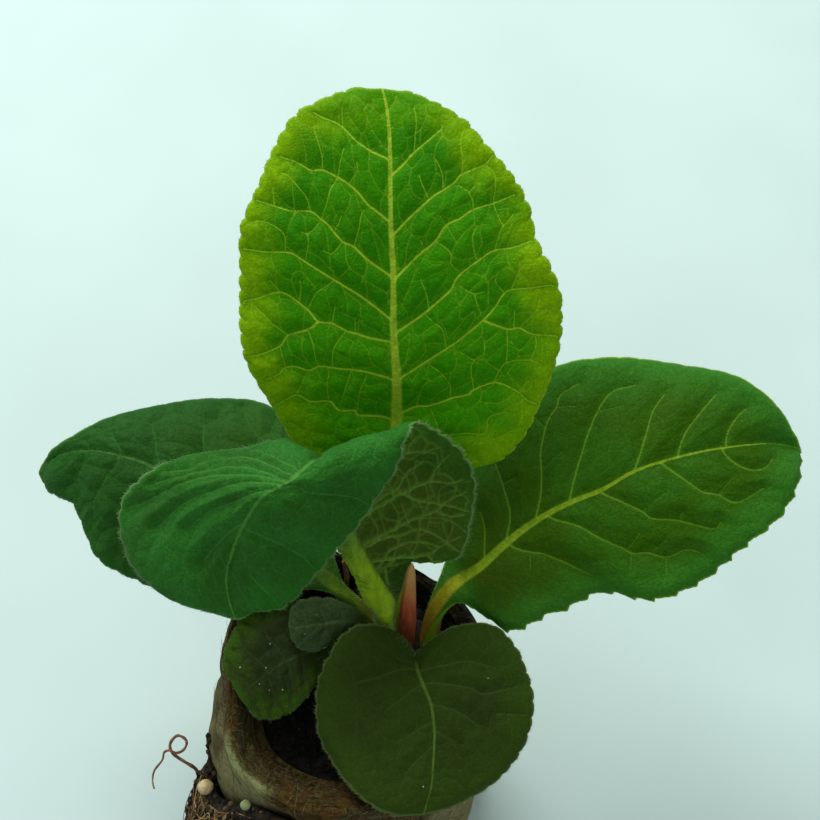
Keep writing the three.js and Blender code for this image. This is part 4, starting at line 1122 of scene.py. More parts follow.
def sleeve_material():
    """Pale pressed fibre outside with a painted highlight along the rim's crest, matted brown fibre on the
    collar that is turned in.
    """
    g = Graph("sleeve_paper")
    weave = g.node("CombineXYZ", {key: g.attribute("weave_" + key.lower()) for key in "XYZ"})
    strands = g.noise(0.5, 4, 0.7, weave, (2.6, 2.6, 1))
    threads = g.noise(0.28, 3, 0.6, weave, (1.1, 1.1, 1))
    tangle = g.noise(1.0, 4, 0.7)
    patch = g.noise(6, 3)
    pressed = g.times(g.plus(tangle, strands), 0.5)
    outside = g.mix(g.between(pressed, 0.38, 0.62), srgb(98, 88, 50), srgb(126, 118, 78))
    outside = g.mix(g.between(patch, 0.5, 0.75, 0, 0.6), outside, srgb(84, 72, 40))
    # Painted highlight: a pale greenish-white line along the crest of the rim
    outside = g.mix(g.times(g.attribute("crest"), 0.75), outside, srgb(136, 142, 88))
    brown = g.mix(g.between(strands, 0.4, 0.62), srgb(32, 24, 9), srgb(84, 68, 26))
    brown = g.mix(g.between(patch, 0.42, 0.62, 0, 0.6), brown, srgb(82, 53, 14))
    brown = g.mix(g.between(threads, 0.56, 0.68, 0, 0.35), brown, srgb(112, 100, 54))
    brown = g.mix(g.between(g.noise(9, 2), 0.5, 0.66, 0, 0.5), brown, srgb(60, 56, 26))
    colour = g.mix(g.math("MAXIMUM", g.attribute("collar"), g.attribute("worn")), outside, brown)
    soiled = g.mix(g.between(tangle, 0.4, 0.62), srgb(16, 13, 9), srgb(48, 40, 26))
    colour = g.mix(g.attribute("stain"), colour, soiled)
    relief = g.plus(g.plus(strands, g.times(threads, 0.6)), g.times(tangle, 0.5))
    return g.finish(g.surface(colour, 0.95, 0.1, g.bump(relief, 0.9, 0.4), {"Sheen Weight": 0.04}))


def toned_material(name, tones, rough=0.9):
    """Each small part of the piece has its own tone of these screen colours."""
    g = Graph(name)
    tone = g.attribute("tone")
    tones = [srgb(*colour) for colour in tones]
    colour = tones[0]
    for index, after in enumerate(tones[1:]):
        low = (index + 0.35) / (len(tones) - 1)
        colour = g.mix(g.between(tone, low, low + 0.2), colour, after)
    grain = g.noise(0.5, 3, 0.6)
    colour = g.mix(g.between(grain, 0.35, 0.7, 0, 0.5), colour, tones[0])
    return g.finish(g.surface(colour, rough, 0.15, g.bump(grain, 0.5, 0.1)))


def shoot_material():
    g = Graph("shoot_skin")
    grain = g.noise(0.8, 3, 0.6, stretch=(1, 1, 0.2))
    pink = g.mix(g.between(grain, 0.35, 0.65), srgb(146, 62, 36), srgb(172, 86, 52))
    colour = g.mix(g.between(g.attribute("along"), 0.5, 1.0), pink, srgb(170, 128, 64))
    return g.finish(g.surface(colour, 0.42, 0.3, g.bump(grain, 0.3, 0.12)))


def plain_growth(name, low, high, rough):
    g = Graph(name)
    grain = g.noise(1.2, 3, 0.6, stretch=(1, 1, 0.25))
    colour = g.mix(g.between(grain, 0.35, 0.65), low, high)
    return g.finish(g.surface(colour, rough, 0.2, g.bump(grain, 0.4, 0.15)))


def floor_material():
    g = Graph("floor")
    return g.finish(g.surface(g.mix(g.between(g.noise(60, 2), 0.3, 0.7), *FLOOR_COLOURS), 0.7))


# The leaves' looks

BASE_LOOK = {
    "base_from": 0.2, "base_to": 0.6,
    "rim_reach": 9.0, "rim_wander": 10.0, "rim_share": 0.5,
    "rim_end": 2.0,  # how far along the leaf the lighter margin reaches
    "mottle": 0.25, "mottle_colour": srgb(22, 56, 4), "tiny": 0.12, "halo": 0.06,
    "cell_share": 0.22, "net_share": 0.4, "side_share": 0.7, "rib_share": 0.85, "spread": 1.0,
    "stem_from": 0.15, "stem_to": 0.4,
    "foot": srgb(140, 110, 44), "foot_to": 0.14,  # the reddish foot of the stalk
    "hem_share": 0.25, "hem": srgb(150, 170, 90),
    "bump": 0.6, "rough": 0.55, "sheen": 0.03, "gloss": 0.1, "gloss_tint": (0.65, 1, 0.5),
    "glow": srgb(120, 190, 0), "glow_tint": 0.5, "through": 0.3,
    "puff": 0.6, "quilt": 0.2, "pebble": 0.16, "groove": 0.12, "rib_rise": 0.12, "vein_width": 0.85,
    "cell_size": 3.6, "tooth": 0.6, "tooth_step": 3.4, "lobe": 0.25, "lobe_step": 7.0,
    "hair": 0.45, "margin_hairs": 500, "stalk_hairs": 500,
    "smooth_side": 0,  # the side whose margin is nearly even, -1 for the left and 1 for the right
    "pointed_side": 0,  # the side whose teeth are pointed
    "below": {},  # what differs on the leaf's underside
}


def dress_leaf(name, grow, **changes):
    """Builds a leaf with its own look. Side veins are grown at the stations of grow.

    rib holds parts of the leaf's length and the half widths of the midrib there.
    """
    look = {**BASE_LOOK, **changes}
    leaf = Leaf(name)
    for key in (name, name + "_inside"):
        if key in PHOTO_VEINS:
            leaf.follow(PHOTO_VEINS[key])
    random = np.random.default_rng(SEED + look["seed"] + 100)
    leaf.grow(grow, random)
    leaf.grow_cells(look["cell_size"], random)
    below = {**look, "halo": 0.2, "net_share": 0.5, "side_share": 0.8, "rib_share": 0.9}
    for key, grey, share in (("dark", 0.3, 0.18), ("light", 0.35, 0.2)):
        below[key] = tuple(blend(np.array(look[key]), grey, share))
    below.update(look["below"])
    skins = [leaf_material(name + "_above", look), leaf_material(name + "_below", below)]
    leaf_piece(name, leaf, look, skins)


dress_leaf(
    "leaf_back", [], seed=1,
    dark=srgb(52, 138, 0), light=srgb(68, 152, 0), base=srgb(78, 172, 0), base_to=0.8, rim=srgb(156, 196, 0),
    rim_share=0.85, rim_reach=8.5, rim_wander=-14.0, rim_end=0.95, mottle=0.22, hem=srgb(180, 205, 50),
    hem_share=0.45, vein=srgb(188, 218, 52), midrib=srgb(196, 214, 60), stem=srgb(190, 204, 60), through=0.4,
    side_share=0.85, net_share=0.5, cell_size=4.6, cell_share=0.24, pebble=0.2, puff=0.6, quilt=0.22,
    tooth=0.7, tooth_step=3.0, lobe=0.75, lobe_step=6.5,
    rib=([0.2, 0.43, 0.57, 0.73, 1], [1.75, 1.45, 0.9, 0.5, 0.18]),
)
dress_leaf(
    "leaf_right", [], seed=2,
    dark=srgb(52, 90, 0), light=srgb(50, 102, 14), base=srgb(62, 72, 0), rim=srgb(64, 142, 44), rim_share=0.6,
    vein=srgb(112, 156, 40), midrib=srgb(146, 172, 36), stem=srgb(196, 176, 30), stem_from=0.1, stem_to=0.3,
    foot=srgb(180, 104, 40), foot_to=0.16, side_share=0.6, net_share=0.3, cell_share=0.07, tiny=0.06,
    pebble=0.11, tooth=0.75, tooth_step=4.0, lobe=0.35, margin_hairs=220, smooth_side=-1, pointed_side=1,
    hem=srgb(140, 176, 30), hem_share=0.8,
    rib=([0.1, 0.3, 0.5, 0.75, 0.9], [1.2, 0.85, 0.5, 0.24, 0.08]),
)
dress_leaf(
    "leaf_arching", [4, 5, 6, 7, 8, 9], seed=3,
    dark=srgb(46, 104, 30), light=srgb(50, 124, 40), base=srgb(80, 92, 28), rim=srgb(44, 110, 26),
    vein=srgb(84, 150, 62), midrib=srgb(92, 150, 64), stem=srgb(168, 202, 34), sheen=0.06,
    stem_from=0.3, stem_to=0.5, side_share=0.5, halo=0.05, vein_width=0.65, bump=0.7, mottle=0.3,
    hem=srgb(140, 180, 110), hem_share=0.5, hair=0.7, margin_hairs=2200, stalk_hairs=1300,
    cell_size=4.4, pebble=0.2, quilt=0.36, puff=0.8, tooth=0.75, lobe=0.4,
    rib=([0.1, 0.4, 0.6, 0.75, 1], [1.6, 1.05, 0.5, 0.32, 0.12]),
    below={
        "vein": srgb(124, 164, 62), "dark": srgb(70, 90, 20), "light": srgb(92, 124, 32),
        "net_share": 0.3, "side_share": 0.5, "cell_share": 0.32, "halo": 0.2, "spread": 2.2,
    },
)
dress_leaf(
    "leaf_left", [4, 5, 6, 7, 8, 9, 10], seed=4,
    dark=srgb(36, 78, 24), light=srgb(42, 90, 32), base=srgb(60, 98, 10), base_from=0.3, base_to=0.7,
    rim=srgb(48, 106, 42), vein=srgb(60, 112, 48), midrib=srgb(80, 125, 56), stem=srgb(120, 148, 36),
    side_share=0.4, net_share=0.2, tooth=0.6, smooth_side=1,
    rib=([0.1, 0.4, 0.6, 0.8, 0.95], [1.4, 0.7, 0.35, 0.18, 0.06]),
)
dress_leaf(
    "leaf_front", [], seed=5,
    dark=srgb(50, 60, 20), light=srgb(58, 76, 22), base=srgb(46, 58, 14), rim=srgb(64, 86, 20),
    vein=srgb(76, 104, 42), midrib=srgb(104, 132, 50), stem=srgb(110, 130, 50),
    hem=srgb(130, 142, 84), hem_share=0.4, side_share=0.4, cell_share=0.2, tooth=0.5, tooth_step=2.8,
    hair=0.5, margin_hairs=1200,
    rib=([0.1, 0.3, 0.5, 0.8, 1], [0.8, 0.42, 0.28, 0.18, 0.1]),
)
dress_leaf(
    "leaf_low_left", [3, 4, 5, 6, 7], seed=6,
    dark=srgb(42, 44, 22), light=srgb(48, 53, 28), base=srgb(42, 50, 16), rim=srgb(64, 96, 10), rim_share=0.9,
    rim_reach=5.0, rim_wander=6.0,
    vein=srgb(58, 72, 34), midrib=srgb(62, 78, 38), stem=srgb(80, 92, 40), side_share=0.4, net_share=0.2,
    hem=srgb(84, 98, 56), hem_share=0.2, cell_size=2.8, tooth=0.55,
    rib=([0.1, 0.4, 0.7, 1], [0.7, 0.35, 0.2, 0.1]),
)
dress_leaf(
    "leaf_small", [3, 4, 5, 6], seed=8,
    dark=srgb(44, 54, 30), light=srgb(50, 64, 36), base=srgb(42, 54, 26), rim=srgb(54, 72, 40),
    vein=srgb(64, 82, 50), midrib=srgb(68, 86, 50), stem=srgb(90, 104, 50), side_share=0.4, net_share=0.2,
    hem=srgb(90, 106, 66), hem_share=0.25, cell_size=2.6, tooth=0.45, tooth_step=2.6, hair=0.3,
    stalk_hairs=60,
    rib=([0.1, 0.4, 0.7, 1], [0.6, 0.32, 0.2, 0.1]),
)


# The plug: its fibre sleeve, with nearly the same settled form as the CAD solid

POT_FLOOR_RADIUS = 23.5
POT_RIM_RADIUS = 25.6
POT_RIM_HEIGHT = 52.0
SLEEVE = 1.2
INNER_RADIUS = POT_RIM_RADIUS - SLEEVE
COLLAR_RADIUS = 17.4
COLLAR_HEIGHT = 47.2
COLLAR_SHIFT = 4.6
COLLAR_OPEN_SIDE = math.radians(65)
LEFT_BELLY = (0.07, math.pi * 1.12, 0.5)  # part of the radius, centre angle, spread
LEFT_DENT = (0.14, math.pi * 1.04, 0.38)
BACK_LIFT = (1.4, math.pi * 0.55, 0.8)
WALL_WAVES = [(0.012, 2, 0.6), (0.008, 3, 2.1), (0.004, 7, 0.4)]
RIM_WAVES = [(0.35, 3, 0.9), (0.2, 8, 1.3)]
WALL = [
    (POT_FLOOR_RADIUS + 0.7, 1.4),
    (POT_FLOOR_RADIUS + 1.4, 16),
    (POT_RIM_RADIUS - 0.3, 34),
    (POT_RIM_RADIUS, POT_RIM_HEIGHT - 3),
]
RIM = [
    (POT_RIM_RADIUS, POT_RIM_HEIGHT - 3),
    (POT_RIM_RADIUS - 0.4, POT_RIM_HEIGHT - 0.4),
    (POT_RIM_RADIUS - 1.4, POT_RIM_HEIGHT),
    (POT_RIM_RADIUS - 3.6, POT_RIM_HEIGHT - 1.2),
    (COLLAR_RADIUS + 1.6, COLLAR_HEIGHT + 0.7),
    (COLLAR_RADIUS, COLLAR_HEIGHT),
]
BACK = [
    (COLLAR_RADIUS + 0.1, COLLAR_HEIGHT - 0.8),
    (INNER_RADIUS - 1.4, POT_RIM_HEIGHT - 3),
    (INNER_RADIUS - 0.3, POT_RIM_HEIGHT - 4.5),
    (INNER_RADIUS - 0.5, 34),
    (POT_FLOOR_RADIUS + 0.2, 16),
    (POT_FLOOR_RADIUS - 0.7, SLEEVE),
]
POT_SIDES = 360
CREST_CLIMB = 2.2  # from the top of the wall up to the crest of the rim
STAIN_SIDE = math.radians(48)  # where soil has darkened the collar
WORN_SIDE = math.radians(272)  # where the wall is brown and matted too
WORN_LEFT = math.radians(184)
STRANDS = 3400
STRAND_LENGTHS = (0.9, 3.6)
STRAND_HALVES = (0.022, 0.045)
LONG_STRAND = 6  # how much longer every sixteenth strand is
TUFT = 90
TUFT_HALF = 0.035
TUFT_TURN = math.radians(197)


def turned_from(angle, centre):
    return np.arctan2(np.sin(angle - centre), np.cos(angle - centre))


def swell(angle, bump):
    size, centre, spread = bump
    return size * np.exp(-((turned_from(angle, centre) / spread) ** 2))


def wave(angle, parts):
    return sum(height * np.sin(turns * angle + phase) for height, turns, phase in parts)


def outward(points):
    """Level directions away from the upright axis."""
    return unit(points * (1, 1, 0))


def round_angles(sides):
    return np.linspace(0, 2 * math.pi, sides, endpoint=False)


def settle(points):
    """The form that the round sleeve and what fills it have slumped into."""
    x, y, z = points[..., 0], points[..., 1], points[..., 2]
    angle = np.arctan2(y, x)
    radius = np.hypot(x, y)
    from_rim = 1 - smooth(COLLAR_RADIUS, POT_RIM_RADIUS - 2, radius)
    reach = np.where(radius < COLLAR_RADIUS, radius / COLLAR_RADIUS, from_rim)
    open_side = 0.5 + 0.5 * np.cos(angle - COLLAR_OPEN_SIDE)
    turned_back = COLLAR_SHIFT * open_side * reach * smooth(40, 45, z)
    wander = smooth(2, 30, z) * wave(angle, WALL_WAVES)
    belly = swell(angle, LEFT_BELLY) * smooth(4, 28, z) * (1 - smooth(30, 50, z))
    near_rim = smooth(38, 50, z)
    grow = 1 + wander + belly - swell(angle, LEFT_DENT) * near_rim + turned_back / np.maximum(radius, 1e-6)
    lift = wave(angle, RIM_WAVES) + swell(angle, BACK_LIFT)
    return np.stack([x * grow, y * grow, z + near_rim * lift], axis=-1)


def turned(profile, sides):
    """Rings of points round the upright axis, one for each [radius, height] of the profile."""
    angle = round_angles(sides)
    radius, height = profile[:, 0, None], profile[:, 1, None]
    return np.stack([radius * np.cos(angle), radius * np.sin(angle), height + 0 * angle], axis=-1)


def grid_normals(rings):
    round_ = np.roll(rings, -1, axis=1) - np.roll(rings, 1, axis=1)
    return unit(np.cross(round_, np.gradient(rings, axis=0)))


def closed_rings(rings, start, end):
    """Points and triangles of rings that follow each other, closed to a point at both ends."""
    rows, sides = rings.shape[:2]
    points = np.vstack([rings.reshape(-1, 3), [start], [end]])
    j = np.arange(sides)
    after = (j + 1) % sides
    faces = []
    for low in range(0, (rows - 1) * sides, sides):
        high = low + sides
        faces.append(np.stack([low + j, low + after, high + after], axis=-1))
        faces.append(np.stack([low + j, high + after, high + j], axis=-1))
    top = (rows - 1) * sides
    faces.append(np.stack([after, j, np.full(sides, rows * sides)], axis=-1))
    faces.append(np.stack([top + j, top + after, np.full(sides, rows * sides + 1)], axis=-1))
    return points, np.vstack(faces)


def finer(profile, step):
    """The profile with points about step apart."""
    profile = np.array(profile, dtype=float)
    along = length_along(profile)
    even = np.linspace(0, along[-1], max(int(along[-1] / step), 1) + 1)
    return np.stack([np.interp(even, along, profile[:, k]) for k in (0, 1)], axis=-1)


def along_curve(points, steps):
    points = np.array(points, dtype=float)
    return curve(points, np.linspace(0, len(points) - 1, steps))


def sleeve_piece():
    """Builds the sleeve and gives the part of its rings that strands lie on, and how far each has climbed."""
    floor = finer([(1, 0), (POT_FLOOR_RADIUS, 0)], 4)
    foot = finer([(POT_FLOOR_RADIUS, 0), WALL[0]], 0.5)[1:]
    rim = finer(along_curve(RIM, 40 * len(RIM)), 0.34)[1:]
    outside = [floor, foot, finer(WALL, 0.8)[1:], rim]
    hidden = [np.array(BACK[:1]), finer(BACK[1:], 4), finer([BACK[-1], (1, SLEEVE)], 6)[1:]]
    profile = np.vstack(outside + hidden)
    seen_rows = sum(len(part) for part in outside)
    wall_top = seen_rows - len(rim)
    climb = length_along(profile)
    rings = settle(turned(profile, POT_SIDES))
    normals = grid_normals(rings)
    angle = round_angles(POT_SIDES)
    rows = np.arange(len(profile))[:, None]
    climb_grid = climb[:, None] + 0 * angle
    # Places in the fibre, which run round and up the sleeve
    weave = np.stack([np.cos(angle) + 0 * climb_grid, np.sin(angle) + 0 * climb_grid, climb_grid], axis=-1)
    weave = weave * (4, 4, 1)

    # The brown collar begins at the crest of the rim, inside a greenish-white line that is a painted
    # highlight where light catches the crest
    from_crest = climb_grid - climb[wall_top] - CREST_CLIMB + waves(weave, 3, 31) * 0.6
    collar = smooth(0, 1.4, from_crest)
    crest = np.exp(-((from_crest + 0.5) ** 2))
    stain = smooth(0.35, 0.75, np.cos(angle - STAIN_SIDE) + waves(weave, 3, 37) * 0.12)
    stain = stain * smooth(-9, -1, from_crest)
    from_front = np.abs(turned_from(angle, WORN_SIDE))
    from_left = np.abs(turned_from(angle, WORN_LEFT))
    high = rings[..., 2] + waves(rings, 5, 39) * 4
    worn = (1 - smooth(0.5, 0.66, from_front + waves(weave, 4, 38) * 0.06)) * smooth(26, 40, high)
    worn = np.maximum(worn, (1 - smooth(0.3, 0.44, from_left)) * smooth(40, 45, high))

    # Wrinkles, creases that slant down the wall, and matted fibre on the turned-in collar
    crumple = waves(rings, 7, 32) * 0.35 + waves(rings * (1, 1, 0.5), 3.2, 33) * 0.16
    crease = np.abs(waves(weave * (1.6, 1.6, 0.3), 4, 34))
    matted = waves(weave * (1.0, 1.0, 2.4), 1.6, 35) * 0.18 + waves(weave * (3, 3, 4), 1.6, 36) * 0.17
    height = crumple - 0.5 * bell(crease, 0.1) + matted * (0.5 + 1.3 * np.maximum(collar, worn))
    hold = smooth(0, 4, rings[..., 2]) * (rows < seen_rows)
    hold = hold * smooth(0, 1.2, climb[seen_rows - 1] - climb_grid + 0.3)
    rings = rings + normals * (np.clip(height, -0.7, 0.5) * hold)[..., None]
    points, faces = closed_rings(rings, (0, 0, 0), (0, 0, SLEEVE))
    points[:, 2] = np.maximum(points[:, 2], 0)
    # crest holds the painted highlight along the rim's crest, taken out where the fibre is worn
    attributes = {"collar": collar, "crest": crest * (1 - worn), "worn": worn, "stain": stain}
    for k, axis in enumerate("xyz"):
        attributes["weave_" + axis] = weave[..., k]
    attributes = {key: np.append(values, [0, 0]) for key, values in attributes.items()}
    piece = make_object("sleeve_paper", points, faces, [sleeve_material()], None, attributes)
    place(piece, "fibre", "fibre_sleeve")
    return rings[wall_top - 40:seen_rows], climb[wall_top - 40:seen_rows]


def tube(path, radii, sides):
    """A closed tube round the path. radii has one number, or one row of them, for each point of the path."""
    tangent = unit(np.gradient(path, axis=0))
    normal = np.zeros_like(path)
    start = np.cross(tangent[0], (0.3, 0.5, 0.8))
    normal[0] = start / np.linalg.norm(start)
    for k in range(1, len(path)):
        turned_on = normal[k - 1] - tangent[k] * (normal[k - 1] @ tangent[k])
        normal[k] = turned_on / np.linalg.norm(turned_on)
    other = np.cross(tangent, normal)
    angle = round_angles(sides)
    radii = np.asarray(radii)
    if radii.ndim == 1:
        radii = radii[:, None] + 0 * angle
    rings = path[:, None] + radii[..., None] * (
        normal[:, None] * np.cos(angle)[:, None] + other[:, None] * np.sin(angle)[:, None]
    )
    return closed_rings(rings, path[0], path[-1])


def toned_piece(name, parts, slot, tones, rough=0.9, smooth_shading=True):
    """Several (points, faces, tone) as one piece; tone is one number for each part."""
    starts = np.cumsum([0] + [len(part[0]) for part in parts])
    points = np.vstack([part[0] for part in parts])
    faces = np.vstack([part[1] + start for part, start in zip(parts, starts)])
    tone = np.concatenate([np.full(len(part[0]), part[2]) for part in parts])
    material = toned_material(name, tones, rough)
    piece = make_object(name, points, faces, [material], None, {"tone": tone}, smooth_shading)
    place(piece, slot)


def strands_piece(rings, climb):
    """Loose fibres that lie on the wall and collar, and some that stand off the rim."""
    random = np.random.default_rng(SEED + 40)
    normals = grid_normals(rings)
    rows, sides = rings.shape[:2]
    crest = int(np.argmax(rings[:, 0, 2]))

    def on_sleeve(turn, row, lift):
        i = np.clip(row, 0, rows - 1.001)
        k = i.astype(int)
        share = (i - k)[:, None]
        j = turn / (2 * math.pi) * sides % sides
        m = j.astype(int)
        side = (j - m)[:, None]
        after = (m + 1) % sides
        low = blend(rings[k, m], rings[k, after], side)
        high = blend(rings[k + 1, m], rings[k + 1, after], side)
        return blend(low, high, share) + normals[k, m] * lift[:, None]

    parts = []
    for index in range(STRANDS):
        steps = random.integers(5, 9)
        s = np.linspace(0, 1, steps)
        turn = random.uniform(0, 2 * math.pi)
        on_collar = index % 5 < 4
        row = random.uniform(crest - 1, rows - 3) if on_collar else random.uniform(0, crest + 3)
        if abs(turn - WORN_SIDE) < 0.6 and index % 2:
            row = random.uniform(crest - 22, crest + 4)
        length = random.uniform(*STRAND_LENGTHS) + LONG_STRAND * (index % 16 == 0)
        heading = random.normal(0, 1.3)
        turns = turn + random.choice([-1, 1]) * math.cos(heading) * length / POT_RIM_RADIUS * s
        wiggle = np.cumsum(random.normal(0, 0.5, steps)) * 0.6
        drift = row + math.sin(heading) * length / (climb[-1] - climb[-2]) * s + wiggle
        lift = 0.03 + random.uniform(0, 0.3) * np.sin(math.pi * s) ** 2
        if index % 6 == 0:
            lift = lift + random.uniform(0.2, 0.9) * s**2
        path = on_sleeve(turns, drift, lift)
        width = random.uniform(*STRAND_HALVES) * (1 - 0.5 * s)
        tone = random.random() ** 1.4
        if math.cos(turn - STAIN_SIDE) < 0.5 or index % 5 == 0:
            parts.append((*tube(path, width, 3), tone))
    # A pale tuft that stands off the rim at the left
    for _ in range(TUFT):
        s = np.linspace(0, 1, 6)
        turns = TUFT_TURN + random.normal(0, 0.05) + (random.normal(0, 0.015) - 0.04) * s
        rise = crest - 5 + random.normal(0, 2.5) + random.uniform(0, 3) * s
        path = on_sleeve(turns, rise, random.uniform(0.3, 1.3) * s**1.5)
        parts.append((*tube(path, TUFT_HALF * (1 - 0.5 * s), 3), random.uniform(0.7, 1)))
    toned_piece("sleeve_fibres", parts, "fibre", [(40, 31, 12), (66, 54, 23), (94, 81, 40), (156, 150, 108)])


# Soil

GAP = 0.3
SOIL_HEAP = 2.4
SOIL_TOP = COLLAR_HEIGHT - 0.8 - 2 * GAP
SOIL_SIDES = 300
CROWN_CENTRE = np.array([9.5, 8.2])
CROWN_CLEAR = 6.5  # no crumb lies this near the crown's centre
CRUMBS = 1200
SIDE_CRUMBS = 600
EDGE_CRUMBS = 700
RIDGE_CRUMBS = 130
RIDGE_TURNS = (199, 193)  # degrees, from its foot to its top
RIDGE_HEIGHTS = (24, 39)
ROOTLETS = 120
ROOTLET_STEPS = 14


def icosahedron():
    golden = (1 + math.sqrt(5)) / 2
    corners = []
    for one in (-1, 1):
        for far in (-golden, golden):
            corners += [(0, one, far), (one, far, 0), (far, 0, one)]
    corners = np.array(corners, dtype=float)
    faces = []
    for i in range(12):
        for j in range(i + 1, 12):
            for k in range(j + 1, 12):
                a, b, c = corners[[i, j, k]]
                if max(np.linalg.norm(a - b), np.linalg.norm(b - c), np.linalg.norm(a - c)) < 2.1:
                    faces_out = np.dot(np.cross(b - a, c - a), a + b + c) > 0
                    faces.append((i, j, k) if faces_out else (i, k, j))
    return corners / np.linalg.norm(corners[0]), np.array(faces)


def turn_matrix(random):
    a, b, _ = (unit(random.normal(size=3)) for _ in range(3))
    b = unit(b - a * (a @ b))
    return np.stack([a, b, np.cross(a, b)])


def crumbs_piece(name, centres, sizes, random, slot, tones):
    """Small angular crumbs, each its own closed piece of one mesh."""
    shape, hull = icosahedron()
    parts = []
    for centre, size in zip(centres, sizes):
        squeeze = random.uniform(0.6, 1.2, 3)
        turn = turn_matrix(random)
        lump = shape * (1 + random.uniform(-0.22, 0.22, (len(shape), 1))) * squeeze * size
        parts.append((lump @ turn + centre, hull, random.random()))
    toned_piece(name, parts, slot, tones, smooth_shading=False)


def soil_top(points):
    x, y = points[..., 0], points[..., 1]
    from_crown = np.hypot(x - CROWN_CENTRE[0], y - CROWN_CENTRE[1])
    heap = SOIL_HEAP * (1 - smooth(4, 22, from_crown))
    crumbs = 0.5 * np.sin(x * 1.9 + 0.7) * np.sin(y * 2.1 + 1.1) + 0.3 * np.sin(x * 3.7 + y * 2.3)
    open_part = 1 - smooth(COLLAR_RADIUS - 2.5, COLLAR_RADIUS - 0.6, np.hypot(x, y))
    return points + np.stack([0 * x, 0 * x, open_part * (heap + crumbs * 0.6)], axis=-1)


def soil_piece():
    within = INNER_RADIUS - GAP
    side = np.array([
        (1, SLEEVE + GAP),
        (POT_FLOOR_RADIUS - 1.1, SLEEVE + GAP),
        (POT_FLOOR_RADIUS - 0.2, 16),
        (within - 0.6, 34),
        (within - 0.7, POT_RIM_HEIGHT - 5.2),
        (within - 1.9, POT_RIM_HEIGHT - 4.3),
        (COLLAR_RADIUS + 0.6, SOIL_TOP),
    ])
    profile = np.vstack([side, finer([(COLLAR_RADIUS - 0.2, SOIL_TOP), (0.4, SOIL_TOP + 0.1)], 0.32)])
    rings = turned(profile, SOIL_SIDES)
    radius = np.hypot(rings[..., 0], rings[..., 1])
    opened = (rings[..., 2] > SOIL_TOP - 0.05) & (radius < COLLAR_RADIUS - 0.5)
    rings = settle(np.where(opened[..., None], soil_top(rings), rings))
    lumps = np.maximum(waves(rings, 1.5, 50), -0.4) * 0.42 + waves(rings, 0.8, 51) * 0.2 - 0.1
    rings[..., 2] += lumps * opened * (1 - smooth(COLLAR_RADIUS - 1.5, COLLAR_RADIUS - 0.5, radius) * 0.8)
    points, faces = closed_rings(rings, (0, 0, SLEEVE + GAP), rings[-1].mean(axis=0))
    material = soil_material("soil_surface", srgb(5, 4, 3), srgb(34, 27, 22))
    place(make_object("soil_surface", points, faces, [material]), "soil", "soil")

    random = np.random.default_rng(SEED + 52)
    spots = rings[len(side) + 1:].reshape(-1, 3)
    spots = spots[random.integers(0, len(spots), CRUMBS * 3)]
    away = np.hypot(spots[:, 0] - CROWN_CENTRE[0], spots[:, 1] - CROWN_CENTRE[1])
    spots = spots[away > CROWN_CLEAR][:CRUMBS] + [0, 0, 0.05]
    sizes = 0.16 + 0.75 * random.random(len(spots)) ** 4
    tones = [(9, 7, 6), (20, 15, 12), (36, 28, 22), (74, 64, 56)]
    crumbs_piece("soil_crumbs", spots, sizes, random, "soil", tones)


# The soil that has burst out at the left

SIDE_FROM, SIDE_TO = 192, 258
SIDE_BOTTOM, SIDE_LEFT_TOP, SIDE_RIGHT_TOP = 3, 25, 47.5
SIDE_CLIMBS = (0.08, 0.7)  # where its upper edge climbs from the left's height to the right's
SIDE_BULGE = 8.6
SIDE_ROWS, SIDE_COLUMNS = 96, 110
SIDE_SINK = 0.75  # keeps its rough surface inside the solid's
CRUMB_SINK = 0.22


def side_soil(across, up, outer):
    """Points of its face, across and up from 0 to 1. outer is 0 on the sleeve and 1 outside."""
    top = blend(SIDE_LEFT_TOP, SIDE_RIGHT_TOP, smooth(*SIDE_CLIMBS, across))
    angle = np.radians(SIDE_FROM + (SIDE_TO - SIDE_FROM) * across)
    middle = np.sin(np.pi * across**0.7) * np.sin(np.pi * up)
    height = SIDE_BOTTOM + (top - SIDE_BOTTOM) * up + 1.2 * np.sin(9 * across) * (up - 0.5)
    lumps = 0.55 * np.sin(23 * across + 5 * up) * np.sin(17 * up + 2 + 3 * across)
    bulge = outer * (0.9 + (SIDE_BULGE + lumps * 1.6) * np.maximum(middle, 0) ** 0.6)
    wall = POT_FLOOR_RADIUS + 0.7 + 1.6 * smooth(1, 36, height) + 0.35
    foot = settle(np.stack([wall * np.cos(angle), wall * np.sin(angle), height], axis=-1))
    out = np.stack([np.cos(angle), np.sin(angle), 0 * angle], axis=-1)
    return foot + out * (GAP + bulge)[..., None]


def side_spot(across, outer):
    """One point of its upper edge."""
    return side_soil(np.array([across]), np.array([1.0]), outer)[0]


